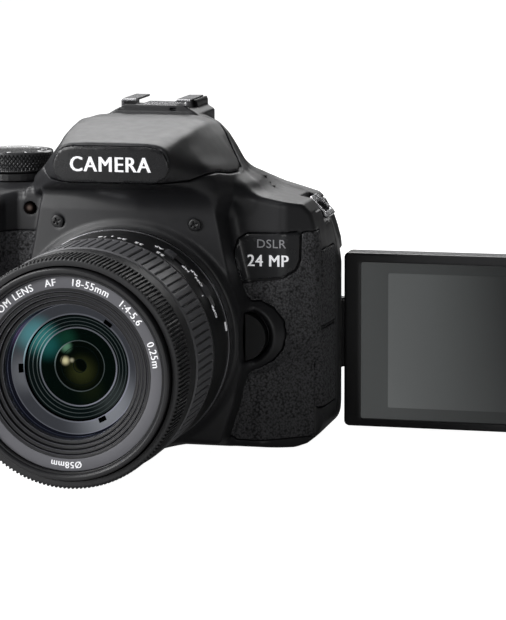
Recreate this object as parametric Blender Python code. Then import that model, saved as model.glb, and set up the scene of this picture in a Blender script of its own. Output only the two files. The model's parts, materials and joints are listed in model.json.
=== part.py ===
"""A single-lens reflex camera with its retracting zoom lens and a screen that swings out and turns.

The frame: +X is to the right of someone who faces the lens, -Y is the way the lens looks, +Z is up.
The origin lies on the base plane, under the lens axis, in the plane of the sensor's face. All sizes
below are in millimetres, and MM turns them into metres where a mesh is made.
"""

import math

import bmesh
import bpy
from mathutils import Matrix, Vector

MM = 0.001
SLIVER = 2e-6  # points this close together, in metres, are one after a Boolean
GAP = 0.3  # clearance between pieces that touch on the real camera
WALL = 2.3  # thickness of the moulded covers

# Optics and lens
LENS_Z = 35.8  # height of the lens axis
FLANGE_Y = -44.0
THROAT_R = 27.0
LENS_LENGTH = 61.8
BARREL_R = 33.25
LENS_FRONT_Y = FLANGE_Y - LENS_LENGTH
ZOOM_RING_Y = (-85.5, -66.4)
INNER_R = 30.2
ROUND = 48  # sides of the lens's turned pieces

# Body
FRONT_Y = -28.0  # front face beside the mount
PANEL_Y = -40.0  # raised centre panel behind the lens
COLLAR_Y, COLLAR_R = -41.2, 34.25
REAR_Y = 19.5
TOP_Z = 78.4
MIDDLE_X = -10.1  # the middle of the body's width
SPLIT_Y = 1.0  # front and rear covers meet here
SPLIT_Z = 71.8  # and the top cover starts above here
BASE_T = 2.0  # thickness of the bottom cover
NOSE_SPLIT_Z = 61.8  # the top cover reaches down to here on the grip
NOSE_SPLIT_X = -36.8  # and the front cover starts to the right of here

# Screen
HINGE_X, HINGE_Y = 52.6, 15.2  # upright hinge of the screen
SCREEN_X = (55.9, 138.6)
SCREEN_Z = (0.8, 55.6)
SCREEN_T = 7.4
TILT_Z = sum(SCREEN_Z) / 2
RECESS_Y = HINGE_Y - SCREEN_T / 2 - 0.6
RECESS_Z = SCREEN_Z[1] + 0.8
RECESS_X = 2 * HINGE_X - SCREEN_X[1] - 0.8

# Flash head
FLASH_PIVOT = (-9.2, 99.2)  # y, z
NOSE_Y = -56.0

# Pieces on the top plate
DIAL_X, DIAL_Y, DIAL_R = -45.2, -4.0, 11.4
COMMAND_X, COMMAND_Y, COMMAND_Z, COMMAND_R = -57.0, -28.0, 72.4, 5.6
SHUTTER_X, SHUTTER_Y, SHUTTER_R = -57.0, -40.5, 4.8

EYE_Z = 78.8
TRIPOD_Y = -12.0
RELEASE_X, RELEASE_R = 34.0, 7.15
PAD_X, PAD_Z = -52.0, 27.0

# Outline of the body from above, anticlockwise, and its silhouette from the front.
PLAN = [
    (-37.5, -28), (51.6, -28), (53.6, -26), (54.9, -12), (55.4, 0), (55.2, 10), (54.4, 18), (52.6, REAR_Y),
    (-66, REAR_Y), (-71, 14), (-74.4, 2), (-75.6, -18), (-75, -34), (-69, -43.5), (-60.5, -47), (-52, -46.5),
    (-46, -43.5), (-42.6, -37), (-40.6, -31),
]
SILHOUETTE = [
    (-67.5, 0), (47, 0), (50.4, 0.9), (53.2, 3.4), (54.9, 6.6), (55.6, 10), (55.6, 58), (54.5, 66),
    (52.4, 72), (49.6, 75.2), (32, 78.6), (-63, TOP_Z), (-70.4, 76.3), (-74.8, 71), (-75.8, 64),
    (-75.8, 9), (-73.6, 3.5),
]
PANEL_HALF = [
    (24, -0.5), (28.5, 5), (32, 16), (33.8, 28), (34, 36), (33.4, 44), (31.5, 52.5), (29.2, 62.5),
    (27, 74.5), (25.6, 80), (23.6, 82.6), (20, 84.3),
]
# Right halves of the hump's sections, top to bottom, from the nose to the eyepiece.
HUMP = {
    -56.0: [(8, 95.2), (12.5, 95), (15.4, 94.2), (16.3, 92.9), (17, 90.5), (17.5, 88), (16.6, 85.6),
            (15, 84.2), (13, 83.8)],
    -41.0: [(9, 97.3), (14, 97), (17, 96), (19, 94.2), (21.5, 91), (23.5, 88), (25, 85.5), (25.6, 83.5),
            (25.4, 80)],
    -30.0: [(10.5, 98.7), (15.5, 98.2), (18.5, 97), (22, 94), (25.4, 90), (28, 86.5), (29.5, 83.8),
            (31, 80.5), (31, 77)],
    -20.0: [(11.5, 99.6), (16.5, 99), (20.3, 97.6), (24, 94.5), (27.5, 90), (29.6, 86.3), (31.5, 83.2),
            (34.5, 80), (34.5, 76)],
    -10.0: [(12, 100), (17, 99.4), (21, 97.6), (25, 94.3), (28.3, 90), (30.2, 86), (32.5, 82.5),
            (36, 79.5), (36, 76)],
    12.6: [(12, 100), (17, 99.3), (21, 97.4), (25, 94), (28, 90), (30, 86), (32.3, 82.5), (35.5, 79.5),
           (35.5, 76)],
    19.8: [(12, 90.5), (15, 90.2), (18, 89.2), (21, 87.2), (24, 84.8), (26.5, 82.4), (29, 80.2),
           (32, 78), (32, 76)],
}
HEAD_KEEP = [(-70, 83), (-41.9, 83), (-41.9, 85), (-16.4, 85), (-9.2, 98.8), (-9.2, 110), (-70, 110)]
HEAD_CLEAR = [(-70, 82.6), (-41.5, 82.6), (-41.5, 84.7), (-16, 84.7), (-9.9, 96.6), (-7.2, 97.8),
              (-7.2, 110), (-70, 110)]

# Colours: base colour, roughness, metallic
BLACK_PLASTIC = ((0.022, 0.022, 0.024), 0.45, 0.0)
SOFT_BLACK = ((0.014, 0.014, 0.015), 0.7, 0.0)
RUBBER = ((0.012, 0.012, 0.012), 0.85, 0.0)
STEEL = ((0.62, 0.62, 0.64), 0.25, 1.0)
GLASS = ((0.02, 0.05, 0.05), 0.03, 0.0)
BOARD = ((0.02, 0.16, 0.07), 0.5, 0.0)
LIGHT_PLASTIC = ((0.6, 0.62, 0.65), 0.4, 0.0)


# ---------------------------------------------------------------- mesh helpers


def material(name, look):
    colour, rough, metal = look
    made = bpy.data.materials.new(name)
    made.use_nodes = True
    shader = made.node_tree.nodes["Principled BSDF"]
    shader.inputs["Base Color"].default_value = (*colour, 1)
    shader.inputs["Roughness"].default_value = rough
    shader.inputs["Metallic"].default_value = metal
    return made


def add(name, points, faces):
    """An object from points in millimetres, with its faces turned outwards."""
    mesh = bpy.data.meshes.new(name)
    mesh.from_pydata([Vector(p) * MM for p in points], [], faces)
    work = bmesh.new()
    work.from_mesh(mesh)
    bmesh.ops.triangulate(work, faces=[face for face in work.faces if len(face.verts) == 4])
    bmesh.ops.recalc_face_normals(work, faces=work.faces)
    work.to_mesh(mesh)
    work.free()
    obj = bpy.data.objects.new(name, mesh)
    bpy.context.collection.objects.link(obj)
    return obj


def loft(name, loops):
    """Closed loops of equal length joined in order, with both ends capped."""
    count = len(loops[0])
    points = [p for loop in loops for p in loop]
    faces = [
        (k * count + i, k * count + (i + 1) % count, (k + 1) * count + (i + 1) % count, (k + 1) * count + i)
        for k in range(len(loops) - 1)
        for i in range(count)
    ]
    faces.append(tuple(range(count)))
    faces.append(tuple(range((len(loops) - 1) * count, len(loops) * count)))
    return add(name, points, faces)


def on_axis(axis, u, v, w):
    """(u, v) across the axis and w along it, as x, y, z."""
    return {"X": (w, u, v), "Y": (u, w, v), "Z": (u, v, w)}[axis]


def prism(name, outline, axis, low, high):
    return loft(name, [[on_axis(axis, u, v, w) for u, v in outline] for w in (low, high)])


def box(name, x, y, z):
    return prism(name, [(x[0], y[0]), (x[1], y[0]), (x[1], y[1]), (x[0], y[1])], "Z", *z)


def circle(centre, radius, sides, start=0.0, turn=360.0):
    whole = turn == 360.0
    count = sides if whole else sides + 1
    angles = [math.radians(start + turn * i / sides) for i in range(count)]
    return [(centre[0] + radius * math.cos(a), centre[1] + radius * math.sin(a)) for a in angles]


def rod(name, axis, centre, radius, low, high, sides=20):
    return prism(name, circle(centre, radius, sides, 180 / sides), axis, low, high)


def turned(name, profile, centre, sides=ROUND, start=0.0, turn=360.0):
    """A ring around an axis along Y: profile holds (radius, y), and none of it touches the axis."""
    whole = turn == 360.0
    count = sides if whole else sides + 1
    points, faces = [], []
    for i in range(count):
        angle = math.radians(start + turn * i / sides)
        points += [(centre[0] + r * math.sin(angle), y, centre[1] + r * math.cos(angle)) for r, y in profile]
    size = len(profile)
    for i in range(sides):
        a, b = i * size, (i + 1) % count * size
        faces += [(a + k, a + (k + 1) % size, b + (k + 1) % size, b + k) for k in range(size)]
    if not whole:
        faces += [tuple(range(size)), tuple(range((count - 1) * size, count * size))]
    return add(name, points, faces)


def combine(obj, tool, operation):
    """The Boolean of the two, applied, with the tool removed."""
    modifier = obj.modifiers.new("combine", "BOOLEAN")
    modifier.operation = operation
    modifier.solver = "EXACT"
    modifier.object = tool
    graph = bpy.context.evaluated_depsgraph_get()
    result = bpy.data.meshes.new_from_object(obj.evaluated_get(graph))
    obj.modifiers.clear()
    work = bmesh.new()
    work.from_mesh(result)
    bmesh.ops.remove_doubles(work, verts=work.verts, dist=SLIVER)
    bmesh.ops.dissolve_degenerate(work, edges=work.edges, dist=SLIVER)
    work.to_mesh(result)
    work.free()
    obj.data = result
    bpy.data.objects.remove(tool)
    return obj


def cut(obj, *tools):
    for tool in tools:
        combine(obj, tool, "DIFFERENCE")
    return obj


def join(obj, *tools):
    for tool in tools:
        combine(obj, tool, "UNION")
    return obj


def keep(obj, tool):
    return combine(obj, tool, "INTERSECT")


def copy(obj, name):
    twin = bpy.data.objects.new(name, obj.data.copy())
    bpy.context.collection.objects.link(twin)
    return twin


def inset(outline, distance):
    """The anticlockwise outline moved inwards by the distance, with mitred corners."""
    moved = []
    for i, here in enumerate(outline):
        before, here, after = Vector(outline[i - 1]), Vector(here), Vector(outline[(i + 1) % len(outline)])
        one, two = (here - before).normalized(), (after - here).normalized()
        normal_one, normal_two = Vector((-one.y, one.x)), Vector((-two.y, two.x))
        middle = (normal_one + normal_two).normalized()
        moved.append(tuple(here + middle * (distance / max(0.3, middle.dot(normal_one)))))
    return moved


def mirrored(half):
    """A closed outline from its right half, which runs from bottom to top."""
    return half + [(-x, z) for x, z in reversed(half)]


def finish(obj, look, pivot=None, smooth=False):
    """Gives the object its material, and puts its origin on the pivot (x, y, z)."""
    obj.data.materials.clear()
    obj.data.materials.append(material(obj.name, look))
    if smooth:
        obj.data.shade_smooth()
        obj.data.set_sharp_from_angle(angle=math.radians(35))
    if pivot:
        place = Vector(pivot) * MM
        obj.data.transform(Matrix.Translation(-place))
        obj.location = place
    return obj


def turn_about_lens(obj, degrees):
    """Turns a shape made above the lens axis clockwise about that axis, as seen from the front."""
    centre = Vector((0, 0, LENS_Z)) * MM
    spin = Matrix.Rotation(math.radians(degrees), 4, "Y")
    obj.data.transform(Matrix.Translation(centre) @ spin @ Matrix.Translation(-centre))
    return obj


# ---------------------------------------------------------------- body envelope


def hump_loops(shrink=0.0):
    loops = []
    for y, half in HUMP.items():
        right = [(max(x - shrink, 1), z - shrink) for x, z in half]
        loops.append([(x, y, z) for x, z in right] + [(-x, y, z) for x, z in reversed(right)])
    return loops


def body_block(name, margin=0.0):
    """The body without its hump: the plan outline taken through the front silhouette."""
    block = prism(name, inset(PLAN, margin), "Z", -5, 90)
    return keep(block, prism("silhouette", inset(SILHOUETTE, margin), "Y", -60, 30))


def grip_slope(name, drop=0.0):
    """Everything above the sloping front of the grip's top."""
    line = [(-24.5, TOP_Z - drop), (-24.5, 95), (-62, 95), (-62, TOP_Z - drop - 0.4 * 37.5)]
    return prism(name, line, "X", -90, -33.4)


def chamfer(name, rise=0.0):
    """Everything below the slanting front edge of the base."""
    start, end = (-33 + 0.45 * rise, rise - 0.01), (-45 + 0.45 * rise, 5.4 + rise)
    return prism(name, [start, end, (-60, end[1]), (-60, -8), (start[0], -8)], "X", -100, 100)


def lug_pocket(name, side, margin=0.0):
    """The corner of the shoulder that is cut away round a strap lug. side is +1 or -1."""
    m = margin
    shape = [(46.5 - m, 82), (46.5 - m, 73.2 - m), (51.2 - m / 2, 68.2 - m), (62, 66.5 - m), (62, 82)]
    if side < 0:
        shape = [(2 * MIDDLE_X - x, z) for x, z in reversed(shape)]
    return prism(name, shape, "Y", -9 - m, 4 + m)


def envelope():
    """The whole closed body, hump and mount included, as one solid."""
    full = body_block("full")
    cut(full, grip_slope("slope"))
    front = [(x, z) for x, z in mirrored(PANEL_HALF)]
    back = [(x * 1.03, z) for x, z in front]
    panel = loft("panel", [[(x, PANEL_Y, z) for x, z in front], [(x, -24.0, z) for x, z in back]])
    below = box("below", (-100, 100), (-60, 40), (-10, 0))
    collar = rod("collar", "Y", (0, LENS_Z), COLLAR_R, COLLAR_Y, -30, ROUND)
    boss = rod("boss", "Y", (34.5, LENS_Z), 10.6, -31.5, -26.5, 32)
    hump = loft("hump", hump_loops())
    join(full, panel, collar, boss, hump)
    return cut(full, chamfer("chamfer"), below)


def hollow():
    """The room inside the covers."""
    room = body_block("room", WALL)
    cut(room, grip_slope("slope", WALL), chamfer("chamfer", WALL))
    cut(room, box("floor", (-100, 100), (-60, 40), (-10, BASE_T + GAP / 2)))
    cut(room, box("rear_room", (RECESS_X - WALL, 100), (RECESS_Y - WALL, 40), (-10, RECESS_Z + WALL)))
    cut(room, lug_pocket("wall", 1, 1.8), lug_pocket("wall", -1, 1.8))
    join(room, box("prism_room", (-25, 25), (-25.7, 12), (60, 82.5)))
    join(room, box("shoe_room", (-12, 12), (-5, 10), (80, 97.5)))
    return join(room, box("mirror_room", (-24.6, 24.6), (-38, -20), (15, 82.4)))


def cavities():
    """Everything that is cut from the closed body before it is split into covers."""
    tools = [
        hollow(),
        rod("throat", "Y", (0, LENS_Z), THROAT_R + 0.9, -50, -36, ROUND),
        box("screen_recess", (RECESS_X, 100), (RECESS_Y, 40), (-10, RECESS_Z)),
        lug_pocket("pocket", 1),
        lug_pocket("pocket", -1),
        box("eye_window", (-10.5, 10.5), (8, 30), (EYE_Z - 5.2, EYE_Z + 5.2)),
    ]
    return tools


# ---------------------------------------------------------------- covers


def skin(name, x, y, z, thickness, outside=0.0):
    """A piece of the body's outer skin inside a box."""
    outer = prism(name, inset(PLAN, -outside), "Z", *z)
    cut(outer, prism("core", inset(PLAN, thickness), "Z", z[0] - 1, z[1] + 1))
    return keep(outer, box("window", x, y, (z[0] - 2, z[1] + 2)))


GRIP_SKIN = ((-90, -32.0), (-60, -8.0), (6.0, 60.5))
COVER_Y = (-16.8, -1.5)
COVER_Z = {"terminal_cover_upper": (37.0, 60.0), "terminal_cover_lower": (12.0, 35.8)}


def grown(limits, by):
    return tuple((low - by, high + by) for low, high in limits)


def button_hole(x, z, radius):
    return rod("hole", "Y", (x, z), radius + 0.4, 10, 30, 16)


REAR_BUTTONS = {
    "menu_button": (43.0, 64.5, 2.9),
    "info_button": (33.5, 64.5, 2.9),
    "live_view_button": (-26.0, 64.5, 3.1),
    "exposure_lock_button": (-53.0, 67.0, 2.7),
    "focus_start_button": (-39.5, 67.0, 2.9),
    "quick_button": (-41.0, 47.5, 2.7),
    "playback_button": (-42.0, 8.5, 2.7),
}


def make_covers():
    full = cut(envelope(), *cavities())
    clear_head = prism("clear_head", HEAD_CLEAR, "X", -60, 60)
    cut(full, clear_head)

    bottom = keep(copy(full, "bottom_cover"), box("k", (-100, 100), (-60, 40), (-5, BASE_T)))
    cut(bottom, box("door", (-68.5, -50.0), (-32.0, 2.0), (-5, 5)))
    cut(bottom, rod("socket", "Z", (0, TRIPOD_Y), 6.8, -5, 5, 24))

    zones = join(
        box("front_zone", (-100, 100), (-60, SPLIT_Y), (BASE_T + GAP, NOSE_SPLIT_Z)),
        box("z", (NOSE_SPLIT_X, 100), (-59, SPLIT_Y), (NOSE_SPLIT_Z - 2, SPLIT_Z)),
        box("z", (-101, NOSE_SPLIT_X + 2), (-23.7, SPLIT_Y), (NOSE_SPLIT_Z - 2, SPLIT_Z)),
        box("z", (NOSE_SPLIT_X, 99), (-58, -26), (SPLIT_Z - 2, 84.4)),
    )
    front = keep(copy(full, "front_cover"), zones)
    cut(front, skin("s", *grown(GRIP_SKIN, GAP), 1.2 + GAP, 2))
    for limits in COVER_Z.values():
        cut(front, skin("s", *grown(((50, 70), COVER_Y, limits), GAP), 1.3 + GAP, 2))
    pocket = prism("p", circle((RELEASE_X, LENS_Z), RELEASE_R + 0.5, 28), "Y", -40, -28.2)
    cut(front, keep(pocket, box("k", (34.6, 60), (-45, -20), (0, 80))))
    cut(front, rod("lamp", "Y", (-33.6, 72.2), 1.9, -35, -20, 16))

    rear = keep(copy(full, "rear_cover"), box("k", (-100, 100), (SPLIT_Y + GAP, 40), (BASE_T + GAP, SPLIT_Z)))
    for x, z, radius in REAR_BUTTONS.values():
        cut(rear, button_hole(x, z, radius))
    cut(rear, button_hole(PAD_X, PAD_Z, 5.8))
    for low, high in ((9.0, 18.7), (41.3, 47.0)):
        knuckle = rod("knuckle", "Z", (HINGE_X, HINGE_Y), 2.7, low, high, 20)
        web = box("web", (HINGE_X - 2.4, HINGE_X + 2.4), (RECESS_Y - 1.2, HINGE_Y), (low, high))
        join(rear, join(knuckle, web))

    zones = join(
        box("top_zone", (-100, 100), (-25.7, 40), (SPLIT_Z + GAP, 120)),
        box("z", (-101, NOSE_SPLIT_X - GAP), (-60, -24.0), (NOSE_SPLIT_Z + GAP, 121)),
    )
    top = keep(full, zones)
    top.name = "top_cover"
    cut(top, box("command_slot", (COMMAND_X - 5, COMMAND_X + 5), (COMMAND_Y - 6.8, COMMAND_Y + 6.8), (55, 90)))
    cut(top, rod("dial_seat", "Z", (DIAL_X, DIAL_Y), 13.0, 78.5, 100, 40))
    cut(top, slanted_rod("shutter_hole", SHUTTER_R + 0.5, -20, 20))
    cut(top, rod("iso_hole", "Z", (-58.0, -19.0), 2.9, 60, 90, 16))
    for obj in (bottom, front, rear, top):
        finish(obj, BLACK_PLASTIC)


def slanted_rod(name, radius, low, high):
    """A rod square to the grip's sloping top, measured from that surface, at the shutter button."""
    slope = math.atan(0.4)
    surface = TOP_Z + (SHUTTER_Y + 24.5) * 0.4
    made = rod(name, "Z", (0, 0), radius, low, high, 24)
    tilt = Matrix.Rotation(slope, 4, "X")
    made.data.transform(Matrix.Translation(Vector((SHUTTER_X, SHUTTER_Y, surface)) * MM) @ tilt)
    return made


def make_skins():
    finish(skin("grip_rubber", *GRIP_SKIN, 1.2), RUBBER)
    outline = [
        (33.8, 51.2), (34.8, 47.8), (40.5, 46.4), (45.0, 42.0), (46.4, 35.8), (44.6, 29.4), (40.0, 25.4),
        (35.4, 24.0), (33.8, 16.0), (32.2, 9.0), (32.2, 3.6), (49.5, 3.6), (52.0, 6.0), (52.0, 50.0),
    ]
    finish(prism("side_rubber", outline, "Y", -29.3, FRONT_Y - GAP), RUBBER)
    thumb = [(-62, 45), (-49, 45), (-46, 48), (-46, 59), (-49, 62), (-60, 62), (-63, 59)]
    finish(prism("thumb_rubber", thumb, "Y", REAR_Y + GAP, REAR_Y + 1.6), RUBBER)


# ---------------------------------------------------------------- inside the body


def make_inside():
    mount_r = 32.4
    ring = turned("mount_ring", [(mount_r, FLANGE_Y), (mount_r, -41.5), (THROAT_R, -41.5), (THROAT_R, FLANGE_Y)],
                  (0, LENS_Z))
    for k in range(3):
        tab = [(THROAT_R + 0.4, -43.4), (THROAT_R + 0.4, -41.9), (25.6, -41.9), (25.6, -43.4)]
        join(ring, turned("tab", tab, (0, LENS_Z), 6, 120 * k - 25, 50))
    finish(ring, STEEL, smooth=True)

    frame = box("mirror_box", (-22, 22), (-37.5, -6), (17, 53))
    finish(cut(frame, box("b", (-20.6, 20.6), (-40, 0), (18.4, 60))), SOFT_BLACK)

    mirror = box("reflex_mirror", (-16.5, 16.5), (-26, 0), (-0.6, 0.6))
    pivot = Vector((0, -10, 49.5)) * MM
    mirror.data.transform(Matrix.Translation(pivot) @ Matrix.Rotation(math.radians(45), 4, "X"))
    finish(mirror, STEEL, (0, -10, 49.5))

    side = [(-34, 55.2), (-12.5, 55.2), (4, 66), (4, 79), (-15, 82.0), (-34, 71)]
    finish(prism("pentamirror", side, "X", -17, 17), SOFT_BLACK)
    eye = rod("eyepiece_lens", "Y", (0, EYE_Z), 4.8, 13.5, 16.5, 20)
    finish(join(eye, box("b", (-9.4, 9.4), (14, 16), (EYE_Z - 4.6, EYE_Z + 4.6))), GLASS)
    cup = prism("eyecup", [(-17, 70), (17, 70), (18, 73), (18, 84), (14, 89), (-14, 89), (-18, 84), (-18, 73)],
                "Y", 20.2, 30.0)
    finish(cut(cup, box("b", (-11.5, 11.5), (15, 40), (EYE_Z - 6, EYE_Z + 6))), RUBBER)

    shutter = box("shutter_frame", (-21, 21), (-4.8, -3.2), (14, 53))
    finish(cut(shutter, box("b", (-12.5, 12.5), (-8, 0), (27.0, 44.6))), SOFT_BLACK)
    finish(box("shutter_curtain", (-14.5, 14.5), (-2.8, -2.2), (26.0, 45.6)), SOFT_BLACK)
    finish(box("image_sensor", (-16, 16), (0, 3.2), (24.5, 47.1)), GLASS)
    finish(box("main_board", (-44, 46), (4.0, 5.6), (14, 56)), BOARD)
    finish(box("battery_pack", (-66.5, -52.5), (-31, 1), (3.2, 52)), SOFT_BLACK)

    socket = rod("tripod_socket", "Z", (0, TRIPOD_Y), 6.4, 0.2, 10, 24)
    finish(cut(socket, rod("r", "Z", (0, TRIPOD_Y), 3.2, -5, 20, 24)), STEEL, smooth=True)
    finish(rod("focus_lamp", "Y", (-33.6, 72.2), 1.5, -28.6, -25, 16), LIGHT_PLASTIC, smooth=True)


def make_bottom_door():
    door = box("battery_door", (-68.1, -50.4), (-31.6, 1.6), (0.2, 1.8))
    cut(door, box("b", (-66.6, -60.2), (-18.6, -11.4), (-3, 5)))
    finish(door, BLACK_PLASTIC, (-50.2, -15, 0.2))
    finish(box("door_latch", (-66.2, -62.8), (-18.2, -11.8), (0.3, 1.6)), SOFT_BLACK)


# ---------------------------------------------------------------- top plate


def make_shoe():
    shoe = box("accessory_shoe", (-10.9, 10.9), (-5.8, 12), (100.3, 103.8))
    cut(shoe, box("b", (-9.6, 9.6), (-10, 11), (101.1, 103.1)), box("b", (-6.3, 6.3), (-10, 11), (102.5, 105)))
    finish(shoe, STEEL)
    finish(box("shoe_contacts", (-5.6, 5.6), (-4.5, 9.5), (101.4, 101.9)), BLACK_PLASTIC)


def make_flash():
    pivot = (0, *FLASH_PIVOT)
    head = keep(loft("flash_head", hump_loops()), prism("k", HEAD_KEEP, "X", -60, 60))
    cut(head, box("b", (-13, 13), (-39, -14), (80, 93)))
    cut(head, box("b", (-12, 12), (-54.6, -44.4), (80, 87)))
    finish(head, BLACK_PLASTIC, pivot)
    finish(box("flash_window", (-11.6, 11.6), (-54.2, -44.8), (84.3, 86.6)), LIGHT_PLASTIC, pivot)
    half = [(14.4, 84.3), (16.9, 86.3), (17.4, 88), (16.9, 90.5), (16.2, 92.9), (15.2, 94.1), (12.3, 94.9)]
    finish(prism("nose_plate", mirrored(half), "Y", NOSE_Y - 1.3, NOSE_Y - GAP), BLACK_PLASTIC, pivot)


def make_dials():
    teeth = 24
    edge = [
        (DIAL_X + (DIAL_R - 0.5 * (i % 2)) * math.cos(math.pi * i / teeth),
         DIAL_Y + (DIAL_R - 0.5 * (i % 2)) * math.sin(math.pi * i / teeth))
        for i in range(2 * teeth)
    ]
    finish(prism("mode_dial", edge, "Z", 81.1, 87.4), BLACK_PLASTIC, (DIAL_X, DIAL_Y, 84))
    lever = rod("power_lever", "Z", (DIAL_X, DIAL_Y), 12.4, 78.8, 80.8, 40)
    tab = box("tab", (DIAL_X - 2.2, DIAL_X + 2.2), (DIAL_Y + 9, DIAL_Y + 15.4), (79.0, 82.4))
    cut(tab, rod("r", "Z", (DIAL_X, DIAL_Y), DIAL_R + 0.5, 80.9, 90, 40))
    finish(join(lever, tab), BLACK_PLASTIC, (DIAL_X, DIAL_Y, 80))

    edge = [
        (COMMAND_Y + (COMMAND_R - 0.4 * (i % 2)) * math.cos(math.pi * i / 16),
         COMMAND_Z + (COMMAND_R - 0.4 * (i % 2)) * math.sin(math.pi * i / 16))
        for i in range(32)
    ]
    finish(prism("command_dial", edge, "X", COMMAND_X - 4.6, COMMAND_X + 4.6), SOFT_BLACK,
           (COMMAND_X, COMMAND_Y, COMMAND_Z))
    finish(slanted_rod("shutter_button", SHUTTER_R, -3.4, 1.4), BLACK_PLASTIC)
    finish(rod("iso_button", "Z", (-58.0, -19.0), 2.5, 75.2, 79.3, 16), BLACK_PLASTIC)


def make_lugs():
    """Flat steel loops on the two shoulders, each a plate with a slot, leaning outwards and down."""
    for name, side in (("strap_lug_right", 1), ("strap_lug_left", -1)):
        loop = cut(box(name, (-0.7, 0.7), (-5.2, 5.2), (-4.2, 4.2)), box("slot", (-3, 3), (-3.7, 3.7), (-2.3, 1.5)))
        centre = Vector((51.6 if side > 0 else 2 * MIDDLE_X - 51.6, -2.5, 71.9)) * MM
        loop.data.transform(Matrix.Translation(centre) @ Matrix.Rotation(math.radians(-46 * side), 4, "Y"))
        finish(loop, STEEL)


# ---------------------------------------------------------------- buttons and side covers


def make_controls():
    for name, (x, z, radius) in REAR_BUTTONS.items():
        finish(rod(name, "Y", (x, z), radius, 16.9, 20.7, 16), BLACK_PLASTIC)
    finish(rod("set_button", "Y", (PAD_X, PAD_Z), 5.8, 16.9, 21.3, 20), BLACK_PLASTIC)
    ring = [(12.3, REAR_Y + 0.4), (12.3, 21.2), (10.5, 21.8), (6.9, 21.8), (6.9, REAR_Y + 0.4)]
    finish(turned("control_ring", ring, (PAD_X, PAD_Z), 32), BLACK_PLASTIC, (PAD_X, 20.5, PAD_Z), True)

    button = prism("lens_release_button", circle((RELEASE_X, LENS_Z), RELEASE_R, 28), "Y", -34.2, -30.2)
    finish(keep(button, box("k", (35.0, 60), (-50, 0), (0, 80))), BLACK_PLASTIC)

    for name, limits in COVER_Z.items():
        cover = skin(name, (50, 70), COVER_Y, limits, 1.3)
        finish(cover, RUBBER, (54.3, COVER_Y[0] - 0.1, sum(limits) / 2))


# ---------------------------------------------------------------- screen


def make_screen():
    hinge_place = (HINGE_X, HINGE_Y, TILT_Z)
    block = rod("screen_hinge", "Z", (HINGE_X, HINGE_Y), 2.9, 19.1, 40.9, 20)
    join(block, box("b", (HINGE_X, SCREEN_X[0] - 0.35), (HINGE_Y - 2.8, HINGE_Y + 2.8), (19.6, 40.4)))
    join(block, rod("shaft", "X", (HINGE_Y, TILT_Z), 2.0, HINGE_X, SCREEN_X[0] + 7.0, 20))
    finish(block, BLACK_PLASTIC, hinge_place)

    low, high = HINGE_Y - SCREEN_T / 2, HINGE_Y + SCREEN_T / 2
    middle = low + 2.2
    corner = 2.6
    x0, x1 = SCREEN_X
    z0, z1 = SCREEN_Z
    outline = [(x0, z0), (x1 - corner, z0), (x1 - 0.8, z0 + 0.8), (x1, z0 + corner), (x1, z1 - corner),
               (x1 - 0.8, z1 - 0.8), (x1 - corner, z1), (x0, z1)]
    back = prism("screen_back", outline, "Y", middle + GAP, high)
    cut(back, prism("room", inset(outline, 1.6), "Y", 0, high - 1.6))
    cut(back, rod("bore", "X", (HINGE_Y, TILT_Z), 2.4, x0 - 5, x0 + 5, 20))
    finish(back, BLACK_PLASTIC, hinge_place)
    bezel = prism("screen_bezel", outline, "Y", low, middle)
    cut(bezel, box("window", (67.0, 135.8), (0, low + 1.2), (3.2, 52.6)))
    cut(bezel, box("window", (69.5, 133.3), (0, 30), (6.5, 49.5)))
    cut(bezel, rod("bore", "X", (HINGE_Y, TILT_Z), 2.4, x0 - 5, x0 + 8, 20))
    finish(bezel, BLACK_PLASTIC, hinge_place)
    finish(box("screen_glass", (67.3, 135.5), (low + 0.2, low + 0.9), (3.5, 52.3)), GLASS, hinge_place)


# ---------------------------------------------------------------- lens


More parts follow.
